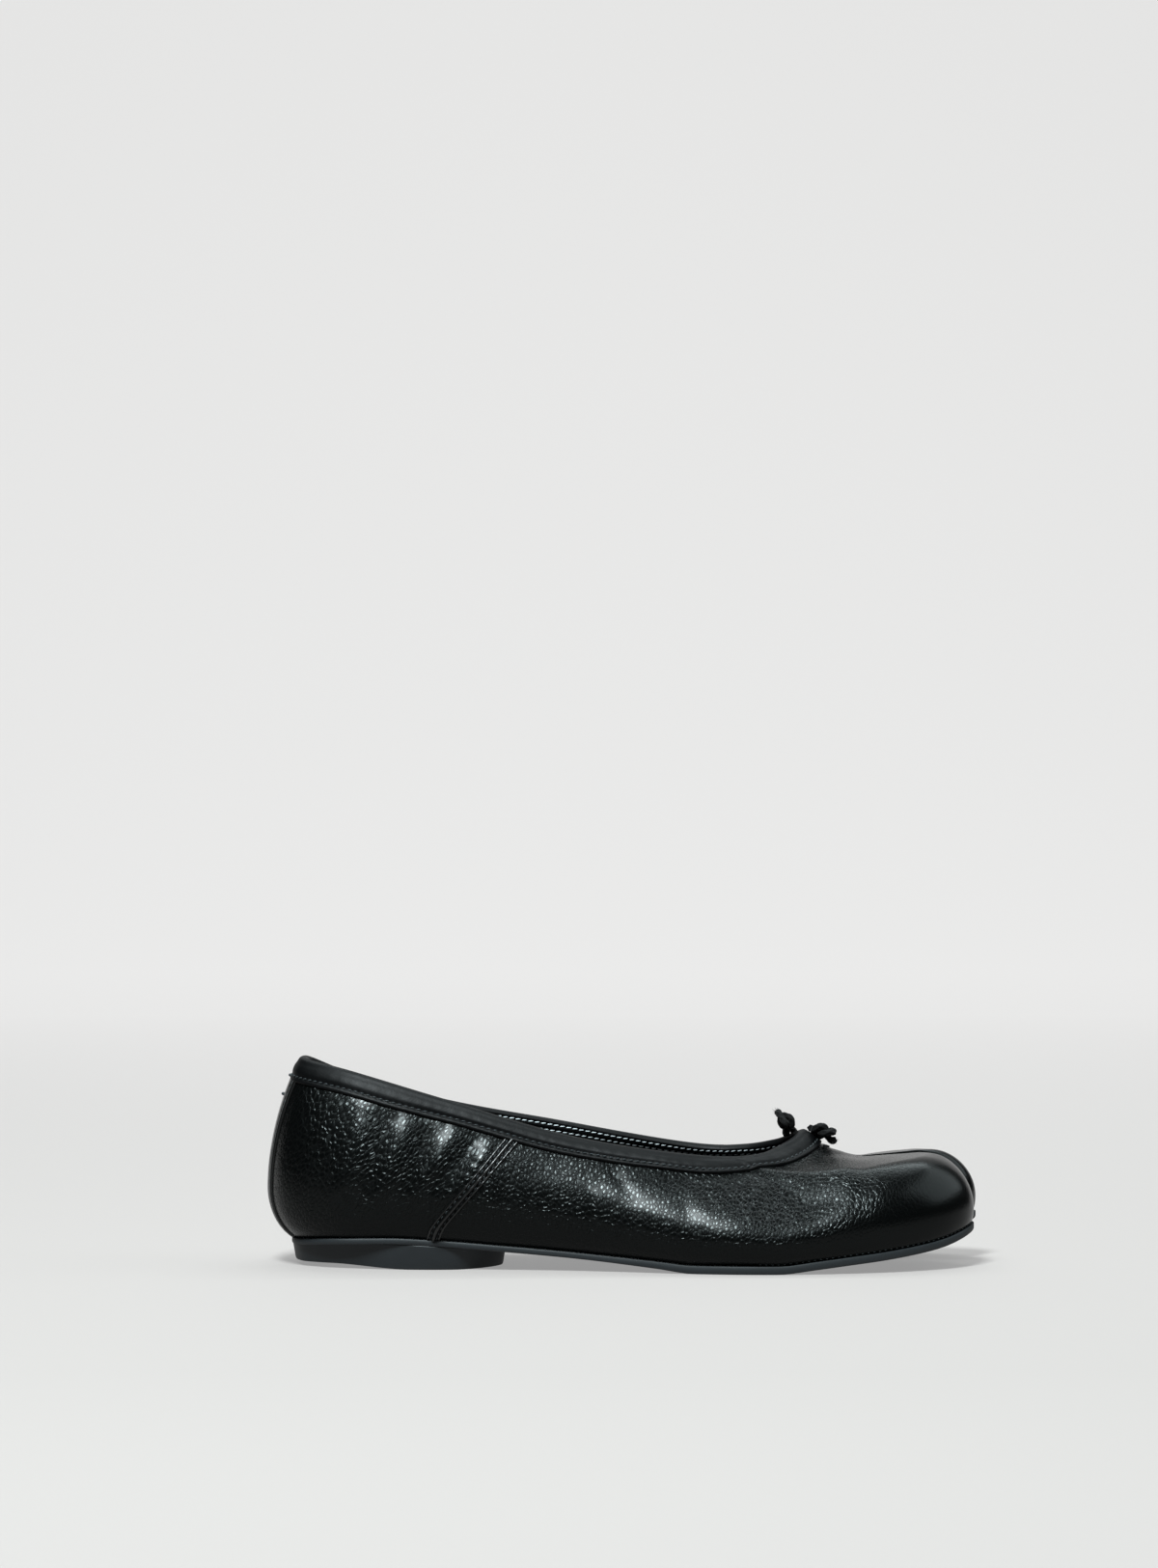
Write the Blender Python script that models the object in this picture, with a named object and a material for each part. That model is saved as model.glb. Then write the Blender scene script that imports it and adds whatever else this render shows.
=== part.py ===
"""Right split-toe ballet flat: slit sole, low heel, hollow leather upper, insole, folded collar binding,
backstay, two side seam strips and the two knotted ends of the drawcord.

Metres, +X to the toe, +Y to the inner side of the foot, +Z up. The origin is on the floor, at the middle of
the heel's flat tread. Tables hold shares of the driving sizes, measured from the back of the heel.
"""
import math

import bmesh
import bpy
import numpy as np

# Driving sizes
LENGTH = 0.2520
BALL_WIDTH = 0.0880
BACK_HEIGHT = 0.0712
CROWN_HEIGHT = 0.0388
HEEL_HEIGHT = 0.0089
TOE_SPRING = 0.0137
WAIST_SOLE = 0.0021
FORE_SOLE = 0.0029
SOLE_EDGE = 0.0009
EDGE_ROUND = 0.0006
UPPER_WALL = 0.0016
INSOLE_THICKNESS = 0.0022
BINDING_WIDTH = 0.0060
BINDING_THICKNESS = 0.0010
BINDING_PUFF = 0.0006
BACKSTAY_WIDTH = 0.0145
BACKSTAY_THICKNESS = 0.0008
STRIP_WIDTH = 0.0036
STRIP_THICKNESS = 0.0007
HEEL_TAPER = 0.0009
HEEL_LIFT = 0.0016
CORD_DIAMETER = 0.0018
GAP = 0.0003

# Shares of the driving sizes
ORIGIN_ALONG = 0.262
FLAT_ALONG = 0.205
LIFT_ALONG = 0.095
SEAT_TURN = math.radians(24)
DOME_ROWS_LOST = 0.6
SEAM_SLANT = math.radians(52)

# Fine rows of a meridian below and above its widest point, and those that the skins' meshes keep
LOWER_ROWS, UPPER_ROWS = 12, 45
OUTER_KEPT = (0, 4, 8, 12, 17, 22, 27, 32, 38, 44, 48, 51, 53, 55, 57)
INNER_KEPT = (0, 8, 12, 22, 32, 44, 51, 54, 57)

# One row for each section round the last, from the back of the heel over the inner side to the toes and back.
# Lengths along the shoe and the ramp are shares of LENGTH. Lengths across it, the overhang, the reach and
# the leave are shares of BALL_WIDTH. bulge is a share of CROWN_HEIGHT and collar_height of BACK_HEIGHT. turn
# is in degrees. front tells how far a section follows the crown of the vamp, and upright how steeply it ends
# at the collar. In plan a section leaves the outline squarely by leave, and bends by its knee to its collar
# point. The vamp rises to the collar over ramp. steps is the number of columns to the next row.
SECTION_COLUMNS = ("along", "across", "overhang", "bulge", "reach", "turn", "front", "upright", "ramp",
                   "leave", "knee_along", "knee_across", "collar_along", "collar_across", "collar_height")
SECTIONS = (
    # name, steps, along, across, overhang, bulge, reach, turn, front, upright, ramp,
    # leave, knee along, knee across, collar along, collar across, collar height
    ("heel_back", 4, 0.0044, 0.000, 0.098, 0.44, 0.90, 62, 0, 0.35, 0.060,
     0.040, 0.033, 0.000, 0.0476, 0.000, 1.000),
    ("heel_turn_inner", 4, 0.025, 0.199, 0.085, 0.44, 0.90, 61, 0, 0.35, 0.060,
     0.042, 0.047, 0.140, 0.0587, 0.108, 0.985),
    ("heel_side_inner", 4, 0.095, 0.335, 0.060, 0.42, 0.90, 60, 0, 0.4, 0.060,
     0.044, 0.108, 0.247, 0.1150, 0.199, 0.900),
    ("arch_inner", 5, 0.238, 0.358, 0.058, 0.40, 0.90, 64, 0, 0.55, 0.050,
     0.034, 0.243, 0.288, 0.2460, 0.250, 0.765),
    ("waist_inner", 6, 0.417, 0.341, 0.056, 0.38, 0.90, 60, 0, 0.6, 0.040,
     0.022, 0.414, 0.300, 0.4130, 0.278, 0.652),
    ("joint_inner", 5, 0.655, 0.472, 0.040, 0.32, 0.60, 72, 0.4, 0.6, 0.036,
     0.070, 0.616, 0.350, 0.5950, 0.284, 0.549),
    ("toe_side_inner", 4, 0.841, 0.452, 0.030, 0.31, 0.26, 90, 1, 0, 0.036,
     0.114, 0.778, 0.307, 0.6770, 0.239, 0.547),
    ("toe_turn_inner", 3, 0.940, 0.378, 0.021, 0.23, 0.23, 90, 1, 0, 0.040,
     0.100, 0.841, 0.290, 0.7180, 0.170, 0.576),
    ("big_toe_turn", 2, 0.984, 0.300, 0.013, 0.16, 0.21, 90, 1, 0, 0.048,
     0.090, 0.881, 0.250, 0.7320, 0.125, 0.596),
    ("big_toe_tip", 2, 1.000, 0.219, 0.010, 0.13, 0.20, 90, 1, 0, 0.056,
     0.090, 0.889, 0.210, 0.7410, 0.092, 0.614),
    ("big_toe_round", 3, 0.989, 0.142, 0.013, 0.17, 0.16, 90, 1, 0, 0.062,
     0.070, 0.889, 0.176, 0.7480, 0.068, 0.626),
    ("mouth_inner", 3, 0.956, 0.098, 0.019, 0.26, 0.12, 90, 1, 0, 0.066,
     0.055, 0.873, 0.150, 0.7515, 0.050, 0.633),
    ("cleft_inner", 4, 0.905, 0.090, 0.024, 0.31, 0.09, 90, 1, 0, 0.066,
     0.045, 0.845, 0.117, 0.7538, 0.034, 0.638),
    ("cleft_root", 4, 0.851, 0.070, 0.024, 0.31, 0.05, 90, 1, 0, 0.066,
     0.030, 0.817, 0.057, 0.7548, 0.018, 0.640),
    ("cleft_outer", 3, 0.905, 0.054, 0.024, 0.31, 0.09, 90, 1, 0, 0.066,
     0.045, 0.845, 0.003, 0.7542, 0.002, 0.640),
    ("mouth_outer", 3, 0.952, 0.041, 0.019, 0.26, 0.12, 90, 1, 0, 0.066,
     0.055, 0.873, -0.040, 0.7528, -0.016, 0.637),
    ("small_toe_round", 2, 0.980, -0.011, 0.013, 0.17, 0.16, 90, 1, 0, 0.062,
     0.070, 0.881, -0.080, 0.7500, -0.038, 0.630),
    ("small_toe_tip", 3, 0.988, -0.102, 0.010, 0.13, 0.20, 90, 1, 0, 0.056,
     0.090, 0.881, -0.125, 0.7440, -0.072, 0.616),
    ("small_toe_turn", 3, 0.976, -0.216, 0.013, 0.16, 0.21, 90, 1, 0, 0.048,
     0.090, 0.869, -0.188, 0.7350, -0.108, 0.598),
    ("toe_turn_outer", 4, 0.936, -0.341, 0.021, 0.23, 0.23, 90, 1, 0, 0.040,
     0.100, 0.833, -0.261, 0.7200, -0.148, 0.574),
    ("toe_side_outer", 5, 0.845, -0.466, 0.030, 0.31, 0.27, 90, 1, 0, 0.036,
     0.114, 0.774, -0.318, 0.6870, -0.222, 0.542),
    ("joint_outer", 6, 0.675, -0.528, 0.040, 0.32, 0.60, 72, 0.4, 0.6, 0.036,
     0.080, 0.628, -0.369, 0.6030, -0.284, 0.541),
    ("waist_outer", 5, 0.429, -0.420, 0.056, 0.38, 0.90, 60, 0, 0.6, 0.040,
     0.045, 0.423, -0.332, 0.4210, -0.284, 0.635),
    ("flank_outer", 4, 0.246, -0.375, 0.058, 0.40, 0.90, 64, 0, 0.6, 0.050,
     0.038, 0.251, -0.298, 0.2540, -0.256, 0.802),
    ("heel_side_outer", 4, 0.095, -0.335, 0.060, 0.42, 0.90, 60, 0, 0.4, 0.060,
     0.044, 0.111, -0.250, 0.1190, -0.205, 0.941),
    ("heel_turn_outer", 4, 0.025, -0.199, 0.085, 0.44, 0.90, 61, 0, 0.35, 0.060,
     0.042, 0.047, -0.140, 0.0587, -0.108, 0.988),
)

# The sole's underside and thickness along the shoe. heel is a share of HEEL_HEIGHT, spring of TOE_SPRING,
# and fore tells how much of the sole has the forefoot's thickness.
PROFILE = (
    # along, heel, spring, fore
    (0.000, 0.76, 0.00, 0.00),
    (0.036, 0.81, 0.00, 0.00),
    (0.100, 0.96, 0.00, 0.00),
    (0.170, 1.00, 0.00, 0.00),
    (0.250, 0.90, 0.00, 0.00),
    (0.333, 0.73, 0.00, 0.00),
    (0.437, 0.49, 0.00, 0.00),
    (0.544, 0.17, 0.00, 0.55),
    (0.595, 0.00, 0.00, 1.00),
    (0.706, 0.00, 0.00, 1.00),
    (0.766, 0.00, 0.12, 1.00),
    (0.806, 0.00, 0.21, 1.00),
    (0.861, 0.00, 0.33, 1.00),
    (0.917, 0.00, 0.49, 1.00),
    (0.944, 0.00, 0.60, 0.95),
    (0.976, 0.00, 0.81, 0.80),
    (1.000, 0.00, 1.03, 0.60),
)

# The crown over the vamp and toes as a share of CROWN_HEIGHT, and the share lost at the ball's half width
CROWN = (
    # along, height, camber
    (0.60, 1.000, 0.34),
    (0.74, 1.000, 0.32),
    (0.80, 0.995, 0.20),
    (0.833, 0.955, 0.12),
    (0.855, 0.965, 0.08),
    (0.893, 0.985, 0.05),
    (0.921, 1.000, 0.05),
    (1.000, 1.000, 0.05),
)

# The heel block's seat, as shares of LENGTH and BALL_WIDTH
HEEL_OUTLINE = (
    # along, outer half width, inner half width
    (0.0365, 0.000, 0.000),
    (0.0476, 0.139, 0.137),
    (0.0675, 0.193, 0.190),
    (0.1071, 0.250, 0.246),
    (0.1667, 0.301, 0.290),
    (0.2341, 0.322, 0.303),
    (0.2738, 0.308, 0.293),
    (0.3036, 0.250, 0.240),
    (0.3214, 0.190, 0.184),
    (0.3333, 0.119, 0.117),
    (0.3349, 0.050, 0.050),
    (0.3349, 0.000, 0.000),
)

# The side seam's middle line, from the sole up to the binding
SEAM_LINE = (
    # share of the height between sole and binding, along
    (0.00, 0.2360),
    (0.10, 0.2410),
    (0.33, 0.2650),
    (0.56, 0.2930),
    (1.00, 0.3450),
)

# Width of the binding's outer face round the collar, as a share of BINDING_WIDTH
BINDING_FALL = (
    # along, share
    (0.00, 1.22),
    (0.16, 1.22),
    (0.30, 1.05),
    (0.52, 1.10),
    (0.62, 1.28),
    (0.70, 1.30),
    (0.76, 1.10),
)

# The drawcord ends: where each leaves the binding, the middle of its knot and the tip of its tail.
# along is a share of LENGTH, across of BALL_WIDTH, height of BACK_HEIGHT. The angles turn the knot about its
# own axis, about Y and about Z, in degrees.
CORD_ENDS = (
    # name, exit, knot, tail, roll, lean, swing
    ("drawcord_rear", (0.7444, 0.016, 0.634), (0.7270, 0.012, 0.688), (0.7170, 0.030, 0.742), -60, 70, 20),
    ("drawcord_front", (0.7612, 0.010, 0.663), (0.7765, 0.000, 0.662), (0.7925, -0.020, 0.625), 20, 25, 60),
)
KNOT_RING = 1.06
KNOT_STRAND = 0.54
KNOT_POINTS = 26

LEATHER = (0.012, 0.013, 0.014, 1.0)
BINDING_BLACK = (0.018, 0.020, 0.022, 1.0)
RUBBER = (0.020, 0.024, 0.028, 1.0)
LINING = (0.008, 0.008, 0.008, 1.0)
CORD_BLACK = (0.006, 0.006, 0.006, 1.0)


def clear_scene():
    for obj in list(bpy.data.objects):
        bpy.data.objects.remove(obj, do_unlink=True)


def finish(name, colour, roughness):
    material = bpy.data.materials.new(name)
    material.use_nodes = True
    shader = material.node_tree.nodes["Principled BSDF"]
    shader.inputs["Base Color"].default_value = colour
    shader.inputs["Roughness"].default_value = roughness
    return material


def smooth_curve(knots, values, at):
    """Cubic curve through the values that never swings past them."""
    knots, values, at = (np.asarray(each, float) for each in (knots, values, at))
    step = np.diff(knots)
    slope = np.diff(values) / step
    tangent = np.zeros(len(values))
    before, after = slope[:-1], slope[1:]
    same_way = before * after > 0
    both = np.where(same_way, before + after, 1.0)
    tangent[1:-1] = np.where(same_way, 2 * before * after / both, 0.0)
    tangent[0], tangent[-1] = slope[0], slope[-1]
    span = np.clip(np.searchsorted(knots, at, side="right") - 1, 0, len(step) - 1)
    share = np.clip((at - knots[span]) / step[span], 0, 1)
    rise = share * share * (3 - 2 * share)
    lead = share * (1 - share) ** 2 * step[span]
    trail = share * share * (share - 1) * step[span]
    start, end = values[span], values[span + 1]
    return start + (end - start) * rise + lead * tangent[span] + trail * tangent[span + 1]


def closed_curve(rows, steps, plan):
    """Rows joined by a closed centripetal curve, whose pace follows the two plan columns."""
    count = len(rows)
    pace = np.sqrt(np.linalg.norm(np.roll(plan, -1, axis=0) - plan, axis=1))
    chord = (np.roll(rows, -1, axis=0) - rows) / pace[:, None]
    previous_pace = np.roll(pace, 1)
    tangent = (np.roll(chord, 1, axis=0) * pace[:, None] + chord * previous_pace[:, None])
    tangent /= (pace + previous_pace)[:, None]
    points = []
    for index in range(count):
        after = (index + 1) % count
        for step in range(steps[index]):
            share = step / steps[index]
            rise = share * share * (3 - 2 * share)
            lead = share * (1 - share) ** 2 * pace[index]
            trail = share * share * (share - 1) * pace[index]
            points.append(rows[index] * (1 - rise) + rows[after] * rise
                          + tangent[index] * lead + tangent[after] * trail)
    return np.array(points)


def underside(x):
    """Height of the sole's underside at x, measured from the back of the heel."""
    along, heel, spring, _ = np.array(PROFILE).T
    return (smooth_curve(along, heel, x / LENGTH) * HEEL_HEIGHT
            + smooth_curve(along, spring, x / LENGTH) * TOE_SPRING)


def seat(x):
    """Height of the sole's top at x."""
    along, _, _, fore = np.array(PROFILE).T
    thickness = WAIST_SOLE + (FORE_SOLE - WAIST_SOLE) * smooth_curve(along, fore, x / LENGTH)
    return underside(x) + thickness


def crown(x, y):
    """Height of the vamp and toes where nothing draws them down."""
    along, height, camber = np.array(CROWN).T
    lost = smooth_curve(along, camber, x / LENGTH) * (y / (BALL_WIDTH / 2)) ** 2
    return CROWN_HEIGHT * (smooth_curve(along, height, x / LENGTH) - lost)


def inward(outline):
    """Unit vectors that point into a closed plan outline."""
    along = np.roll(outline, -1, axis=0) - np.roll(outline, 1, axis=0)
    across = np.column_stack([along[:, 1], -along[:, 0]])
    across /= np.linalg.norm(across, axis=1)[:, None]
    turn = np.sum(outline[:, 0] * np.roll(outline[:, 1], -1) - outline[:, 1] * np.roll(outline[:, 0], -1))
    return across if turn < 0 else -across


class Last:
    """The upper's outer skin: columns round the shoe, each a meridian from the feather line to the collar."""

    def __init__(self):
        steps = [row[1] for row in SECTIONS]
        shares = np.array([row[2:] for row in SECTIONS], float)
        size = dict.fromkeys(SECTION_COLUMNS, 1.0)
        size.update(dict.fromkeys(("along", "knee_along", "collar_along", "ramp"), LENGTH))
        size.update(dict.fromkeys(("across", "knee_across", "collar_across"), BALL_WIDTH))
        size.update(dict.fromkeys(("overhang", "reach", "leave"), BALL_WIDTH))
        size.update(bulge=CROWN_HEIGHT, collar_height=BACK_HEIGHT)
        rows = shares * [size[column] for column in SECTION_COLUMNS]
        table = closed_curve(rows, steps, rows[:, :2])
        self.columns = dict(zip(SECTION_COLUMNS, table.T))
        self.widest = table[:, :2]
        self.inward = inward(self.widest)
        self.feather = self.widest + self.inward * self.columns["overhang"][:, None]
        self.skin = np.array([self.meridian(index) for index in range(len(table))])
        self.normals = self.outward()

    def meridian(self, index):
        """Points of one section's outer skin, from the sole up to the collar."""
        column = {name: values[index] for name, values in self.columns.items()}
        start, into = self.widest[index], self.inward[index]
        base = seat(self.feather[index][0]) + GAP
        widest_height = base + column["bulge"]
        psi = np.linspace(SEAT_TURN, math.pi / 2, LOWER_ROWS + 1)
        out = (np.sin(psi) - math.sin(SEAT_TURN)) / (1 - math.sin(SEAT_TURN))
        up = 1 - np.cos(psi) / math.cos(SEAT_TURN)
        lower = np.column_stack([self.feather[index] + (start - self.feather[index]) * out[:, None],
                                 base + (widest_height - base) * up])
        path, travelled = self.plan_path(start, into, column)
        length = travelled[-1]
        reach = min(column["reach"], length)
        turn = math.radians(min(column["turn"], 90))
        dome_rows = 1 - DOME_ROWS_LOST * (length - reach) / length
        row = np.linspace(0, 1, UPPER_ROWS + 1)
        phi = turn * np.minimum(1, row / dome_rows)
        run = np.clip((row - dome_rows) / max(1 - dome_rows, 1e-9), 0, 1)
        upright = min(max(column["upright"], 0), 1)
        climbed = phi / turn
        drawn_in = (1 - np.cos(phi)) / (1 - math.cos(turn)) * (1 - upright)
        drawn_in += climbed ** 2 * (3 - 2 * climbed) * upright
        away = reach * drawn_in + (length - reach) * run
        plan = np.column_stack([np.interp(away, travelled, path[:, axis]) for axis in range(2)])
        ramp = np.clip(1 - (length - away) / column["ramp"], 0, 1) ** 2
        end_crown = crown(column["collar_along"], column["collar_across"])
        over_crown = crown(plan[:, 0], plan[:, 1]) + (column["collar_height"] - end_crown) * ramp
        front = min(max(column["front"], 0), 1)
        top = column["collar_height"] + (over_crown - column["collar_height"]) * front
        height = widest_height + (top - widest_height) * np.sin(phi) / math.sin(turn)
        return np.vstack([lower[:-1], np.column_stack([plan, height])])

    def plan_path(self, start, into, column):
        """The plan of a meridian: it leaves the outline squarely and bends towards its collar point."""
        end = np.array([column["collar_along"], column["collar_across"]])
        leave = start + into * column["leave"]
        arrive = np.array([column["knee_along"], column["knee_across"]])
        share = np.linspace(0, 1, 61)[:, None]
        path = (start * (1 - share) ** 3 + leave * 3 * share * (1 - share) ** 2
                + arrive * 3 * share ** 2 * (1 - share) + end * share ** 3)
        travelled = np.concatenate([[0], np.cumsum(np.linalg.norm(np.diff(path, axis=0), axis=1))])
        return path, travelled

    def outward(self):
        round_the_shoe = np.roll(self.skin, -1, axis=0) - np.roll(self.skin, 1, axis=0)
        up_the_skin = np.gradient(self.skin, axis=1)
        normals = np.cross(up_the_skin, round_the_shoe)
        return normals / np.linalg.norm(normals, axis=2)[:, :, None]

    def below_collar(self, index, fall):
        """Point and normal of one column at a distance down the skin from the collar."""
        points = self.skin[index][::-1]
        steps = np.linalg.norm(np.diff(points, axis=0), axis=1)
        down = np.concatenate([[0], np.cumsum(steps)])
        normals = self.normals[index][::-1]
        point = np.array([np.interp(fall, down, points[:, axis]) for axis in range(3)])
        normal = np.array([np.interp(fall, down, normals[:, axis]) for axis in range(3)])
        return point, normal / np.linalg.norm(normal)

    def on_flank(self, x, height, side):
        """Point and normal on the outer (-1) or inner (+1) flank at x and a height."""
        found = []
        for index in range(len(self.skin)):
            if self.widest[index][1] * side <= 0.2 * BALL_WIDTH:
                continue
            line = self.skin[index]
            row = np.interp(height, line[:, 2], np.arange(len(line)))
            found.append([np.interp(row, np.arange(len(line)), values)
                          for values in np.hstack([line, self.normals[index]]).T])
        found = np.array(sorted(found))
        near = np.array([np.interp(x, found[:, 0], found[:, axis]) for axis in range(6)])
        return near[:3], near[3:] / np.linalg.norm(near[3:])

    def edge_height(self, x, side):
        """Height of the binding's lower edge on one flank at x."""
        found = []
        for index in range(len(self.skin)):
            if self.widest[index][1] * side > 0.2 * BALL_WIDTH:
                point, _ = self.below_collar(index, binding_width(self.skin[index][-1][0]))
                found.append((point[0], point[2]))
        return float(np.interp(x, *np.array(sorted(found)).T))

    def on_back(self, y, row):
        """Point and normal on the back of the heel at y in one fine row."""
        reach = 6
        order = [index % len(self.skin) for index in range(-reach, reach + 1)]
        values = np.hstack([self.skin[order, row], self.normals[order, row]])
        near = np.array([np.interp(y, values[:, 1], values[:, axis]) for axis in range(6)])
        return near[:3], near[3:] / np.linalg.norm(near[3:])


def add_object(name, points, faces, material):
    """One smooth-shaded object from points measured from the back of the heel."""
    shifted = np.asarray(points, float) - [ORIGIN_ALONG * LENGTH, 0, 0]
    mesh = bpy.data.meshes.new(name)
    mesh.from_pydata([tuple(point) for point in shifted], [], [tuple(face) for face in faces])
    work = bmesh.new()
    work.from_mesh(mesh)
    bmesh.ops.recalc_face_normals(work, faces=work.faces)
    work.to_mesh(mesh)
    work.free()
    mesh.shade_smooth()
    mesh.set_sharp_from_angle(angle=math.radians(40))
    mesh.materials.append(material)
    obj = bpy.data.objects.new(name, mesh)
    bpy.context.scene.collection.objects.link(obj)
    return obj


def ring_faces(rings, size):
    """Quads of a closed stack of rings, whose last ring joins the first."""
    faces = []
    for ring in range(rings):
        here, after = ring * size, (ring + 1) % rings * size
        for index in range(size):
            beside = (index + 1) % size
            faces.append((here + index, here + beside, after + beside, after + index))
    return faces


def build_upper(last, material):
    """The hollow leather shell: outer skin, collar edge, inner skin and the edge on the sole."""
    outer = [last.skin[:, row] for row in OUTER_KEPT]
    inner = [last.skin[:, row] - last.normals[:, row] * UPPER_WALL for row in reversed(INNER_KEPT)]
    rings = outer + inner
    return add_object("upper", np.vstack(rings), ring_faces(len(rings), len(last.skin)), material)


def build_slab(name, outline, rings, low, high, material, slices=20):
    """A flat-cut piece bent to the last: rings are (inset, share of its height) from the bottom up."""
    into = inward(outline)
    work = bmesh.new()
    loops = []
    for inset, share in rings:
        flat = outline + into * inset
        loops.append([work.verts.new((x, y, share)) for x, y in flat])
    count = len(outline)
    for lower, upper in zip(loops, loops[1:]):
        for index in range(count):
            beside = (index + 1) % count
            work.faces.new((lower[index], lower[beside], upper[beside], upper[index]))
    work.faces.new(loops[0])
    work.faces.new(loops[-1])
    start, end = outline[:, 0].min(), outline[:, 0].max()
    for x in np.linspace(start, end, slices + 1)[1:-1]:
        geometry = work.verts[:] + work.edges[:] + work.faces[:]
        bmesh.ops.bisect_plane(work, geom=geometry, dist=1e-7, plane_co=(x, 0, 0), plane_no=(1, 0, 0))
    for vertex in work.verts:
        bottom, top = float(low(vertex.co.x)), float(high(vertex.co.x))
        vertex.co.z = bottom + (top - bottom) * vertex.co.z
    bmesh.ops.triangulate(work, faces=work.faces[:])
    work.verts.index_update()
    points = [tuple(vertex.co) for vertex in work.verts]
    faces = [[vertex.index for vertex in face.verts] for face in work.faces]
    work.free()
    return add_object(name, points, faces, material)


def build_sole(last, material):
    outline = last.feather - last.inward * SOLE_EDGE
    share = EDGE_ROUND / FORE_SOLE
    rings = ((EDGE_ROUND, 0.0), (0.0, share), (0.0, 1 - share), (EDGE_ROUND, 1.0))
    return build_slab("outsole", outline, rings, underside, seat, material)


def build_insole(last, material):
    outline = last.feather + last.inward * (UPPER_WALL + GAP)
    rings = ((0.0, 0.0), (0.0, 0.8), (EDGE_ROUND, 1.0))
    return build_slab("insole", outline, rings, lambda x: seat(x) + GAP,
                      lambda x: seat(x) + GAP + INSOLE_THICKNESS, material)


def tread(x):
    """The heel's running face: flat at the front and lifted at the back."""
    share = np.clip((FLAT_ALONG - x / LENGTH) / (FLAT_ALONG - LIFT_ALONG), 0, 1)
    return HEEL_LIFT * share * share * (3 - 2 * share)


def build_heel(material):
    along, outer, inner = np.array(HEEL_OUTLINE).T
    half = np.column_stack([along, inner])[:-1]
    other = np.column_stack([along, -outer])[1:][::-1]
    rows = np.vstack([half, other]) * [LENGTH, BALL_WIDTH]
    outline = closed_curve(rows, [2] * len(rows), rows)
    rings = ((HEEL_TAPER + EDGE_ROUND, 0.0), (HEEL_TAPER, 0.08), (0.0, 0.96), (EDGE_ROUND / 2, 1.0))
    return build_slab("heel", outline, rings, tread, lambda x: underside(x) - GAP, material, slices=9)


def binding_width(x):
    """Width of the binding's outer face where the collar's edge is at x."""
    along, share = np.array(BINDING_FALL).T
    return BINDING_WIDTH * float(smooth_curve(along, share, x / LENGTH))


def build_binding(last, material):
    """A strip folded over the collar's edge, puffed over the drawcord outside and flat inside."""
    inside = UPPER_WALL + GAP
    rings = []
    for index in range(len(last.skin)):
        width = binding_width(last.skin[index][-1][0])
        over = GAP + BINDING_THICKNESS
        section = (
            (width, GAP), (width * 0.97, over - BINDING_THICKNESS * 0.3), (width * 0.55, over + BINDING_PUFF),
            (width * 0.1, over + BINDING_PUFF * 0.4), (-over, -UPPER_WALL * 0.2), (-over, -UPPER_WALL * 0.8),
            (width * 0.1, -inside - BINDING_THICKNESS), (width, -inside - BINDING_THICKNESS * 0.8),
            (width, -inside), (width * 0.5, -inside), (-GAP, -inside), (-GAP, GAP), (width * 0.5, GAP),
        )
        ring = []
        top, _ = last.below_collar(index, 0.0)
        under, _ = last.below_collar(index, 0.001)
        up = (top - under) / np.linalg.norm(top - under)
        for fall, proud in section:
            point, normal = last.below_collar(index, max(fall, 0.0))
            ring.append(point + normal * proud + up * max(-fall, 0.0))
        rings.append(ring)
    points = np.array(rings).reshape(-1, 3)
    return add_object("collar_binding", points, ring_faces(len(rings), len(section)), material)


def build_patch(name, cells, low, high, material):
    """A strip on the skin: cells is a grid of (point, normal), and high holds its height across."""
    rows, across = len(cells), len(cells[0])
    under = [point + normal * low for row in cells for point, normal in row]
    over = [point + normal * (low + rise) for row in cells for (point, normal), rise in zip(row, high)]
    rim = ([(0, column) for column in range(across)] + [(row, across - 1) for row in range(1, rows)]
           + [(rows - 1, column) for column in range(across - 2, -1, -1)]
           + [(row, 0) for row in range(rows - 2, 0, -1)])
    rim = [row * across + column for row, column in rim]
    faces = []
    for row in range(rows - 1):
        for column in range(across - 1):
            corner = row * across + column
            quad = (corner, corner + 1, corner + across + 1, corner + across)
            faces.append(quad)
            faces.append(tuple(index + rows * across for index in reversed(quad)))
    for index, first in enumerate(rim):
        second = rim[(index + 1) % len(rim)]
        faces.append((first, second, second + rows * across, first + rows * across))
    return add_object(name, np.array(under + over), faces, material)


def build_backstay(last, material):
    """The narrow strip over the back seam, from under the binding to the sole."""
    line = last.skin[0]
    width = binding_width(line[-1][0]) + GAP
    down = np.cumsum(np.linalg.norm(np.diff(line[::-1], axis=0), axis=1))[::-1]
    last_row = int(np.nonzero(down > width)[0].max())
    rows = np.unique(np.linspace(2, last_row, 14).astype(int))
    across = np.array([-0.5, -0.36, -0.18, 0, 0.18, 0.36, 0.5]) * BACKSTAY_WIDTH
    cells = [[last.on_back(y, row) for y in across] for row in rows]
    high = BACKSTAY_THICKNESS * np.array([0.45, 1, 1, 1, 1, 1, 0.45])
    return build_patch("backstay", cells, GAP, high, material)


def build_seam_strip(last, name, side, material):
    """The raised strip over the slanted side seam, from the sole to the binding's edge."""
    share, along = np.array(SEAM_LINE).T
    cells = []
    for at in np.linspace(0, 1, 15):
        row = []
        for offset in np.array([-0.5, -0.3, 0, 0.3, 0.5]) * STRIP_WIDTH / math.sin(SEAM_SLANT):
            foot, head = (along[end] * LENGTH + offset for end in (0, -1))
            low = seat(foot) + GAP * 3
            high = last.edge_height(head, side) - GAP * 2
            x = float(smooth_curve(share, along, at)) * LENGTH + offset
            row.append(last.on_flank(x, low + (high - low) * at, side))
        cells.append(row)
    high = STRIP_THICKNESS * np.array([0.5, 1, 0.75, 1, 0.5])
    return build_patch(name, cells, GAP, high, material)


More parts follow.
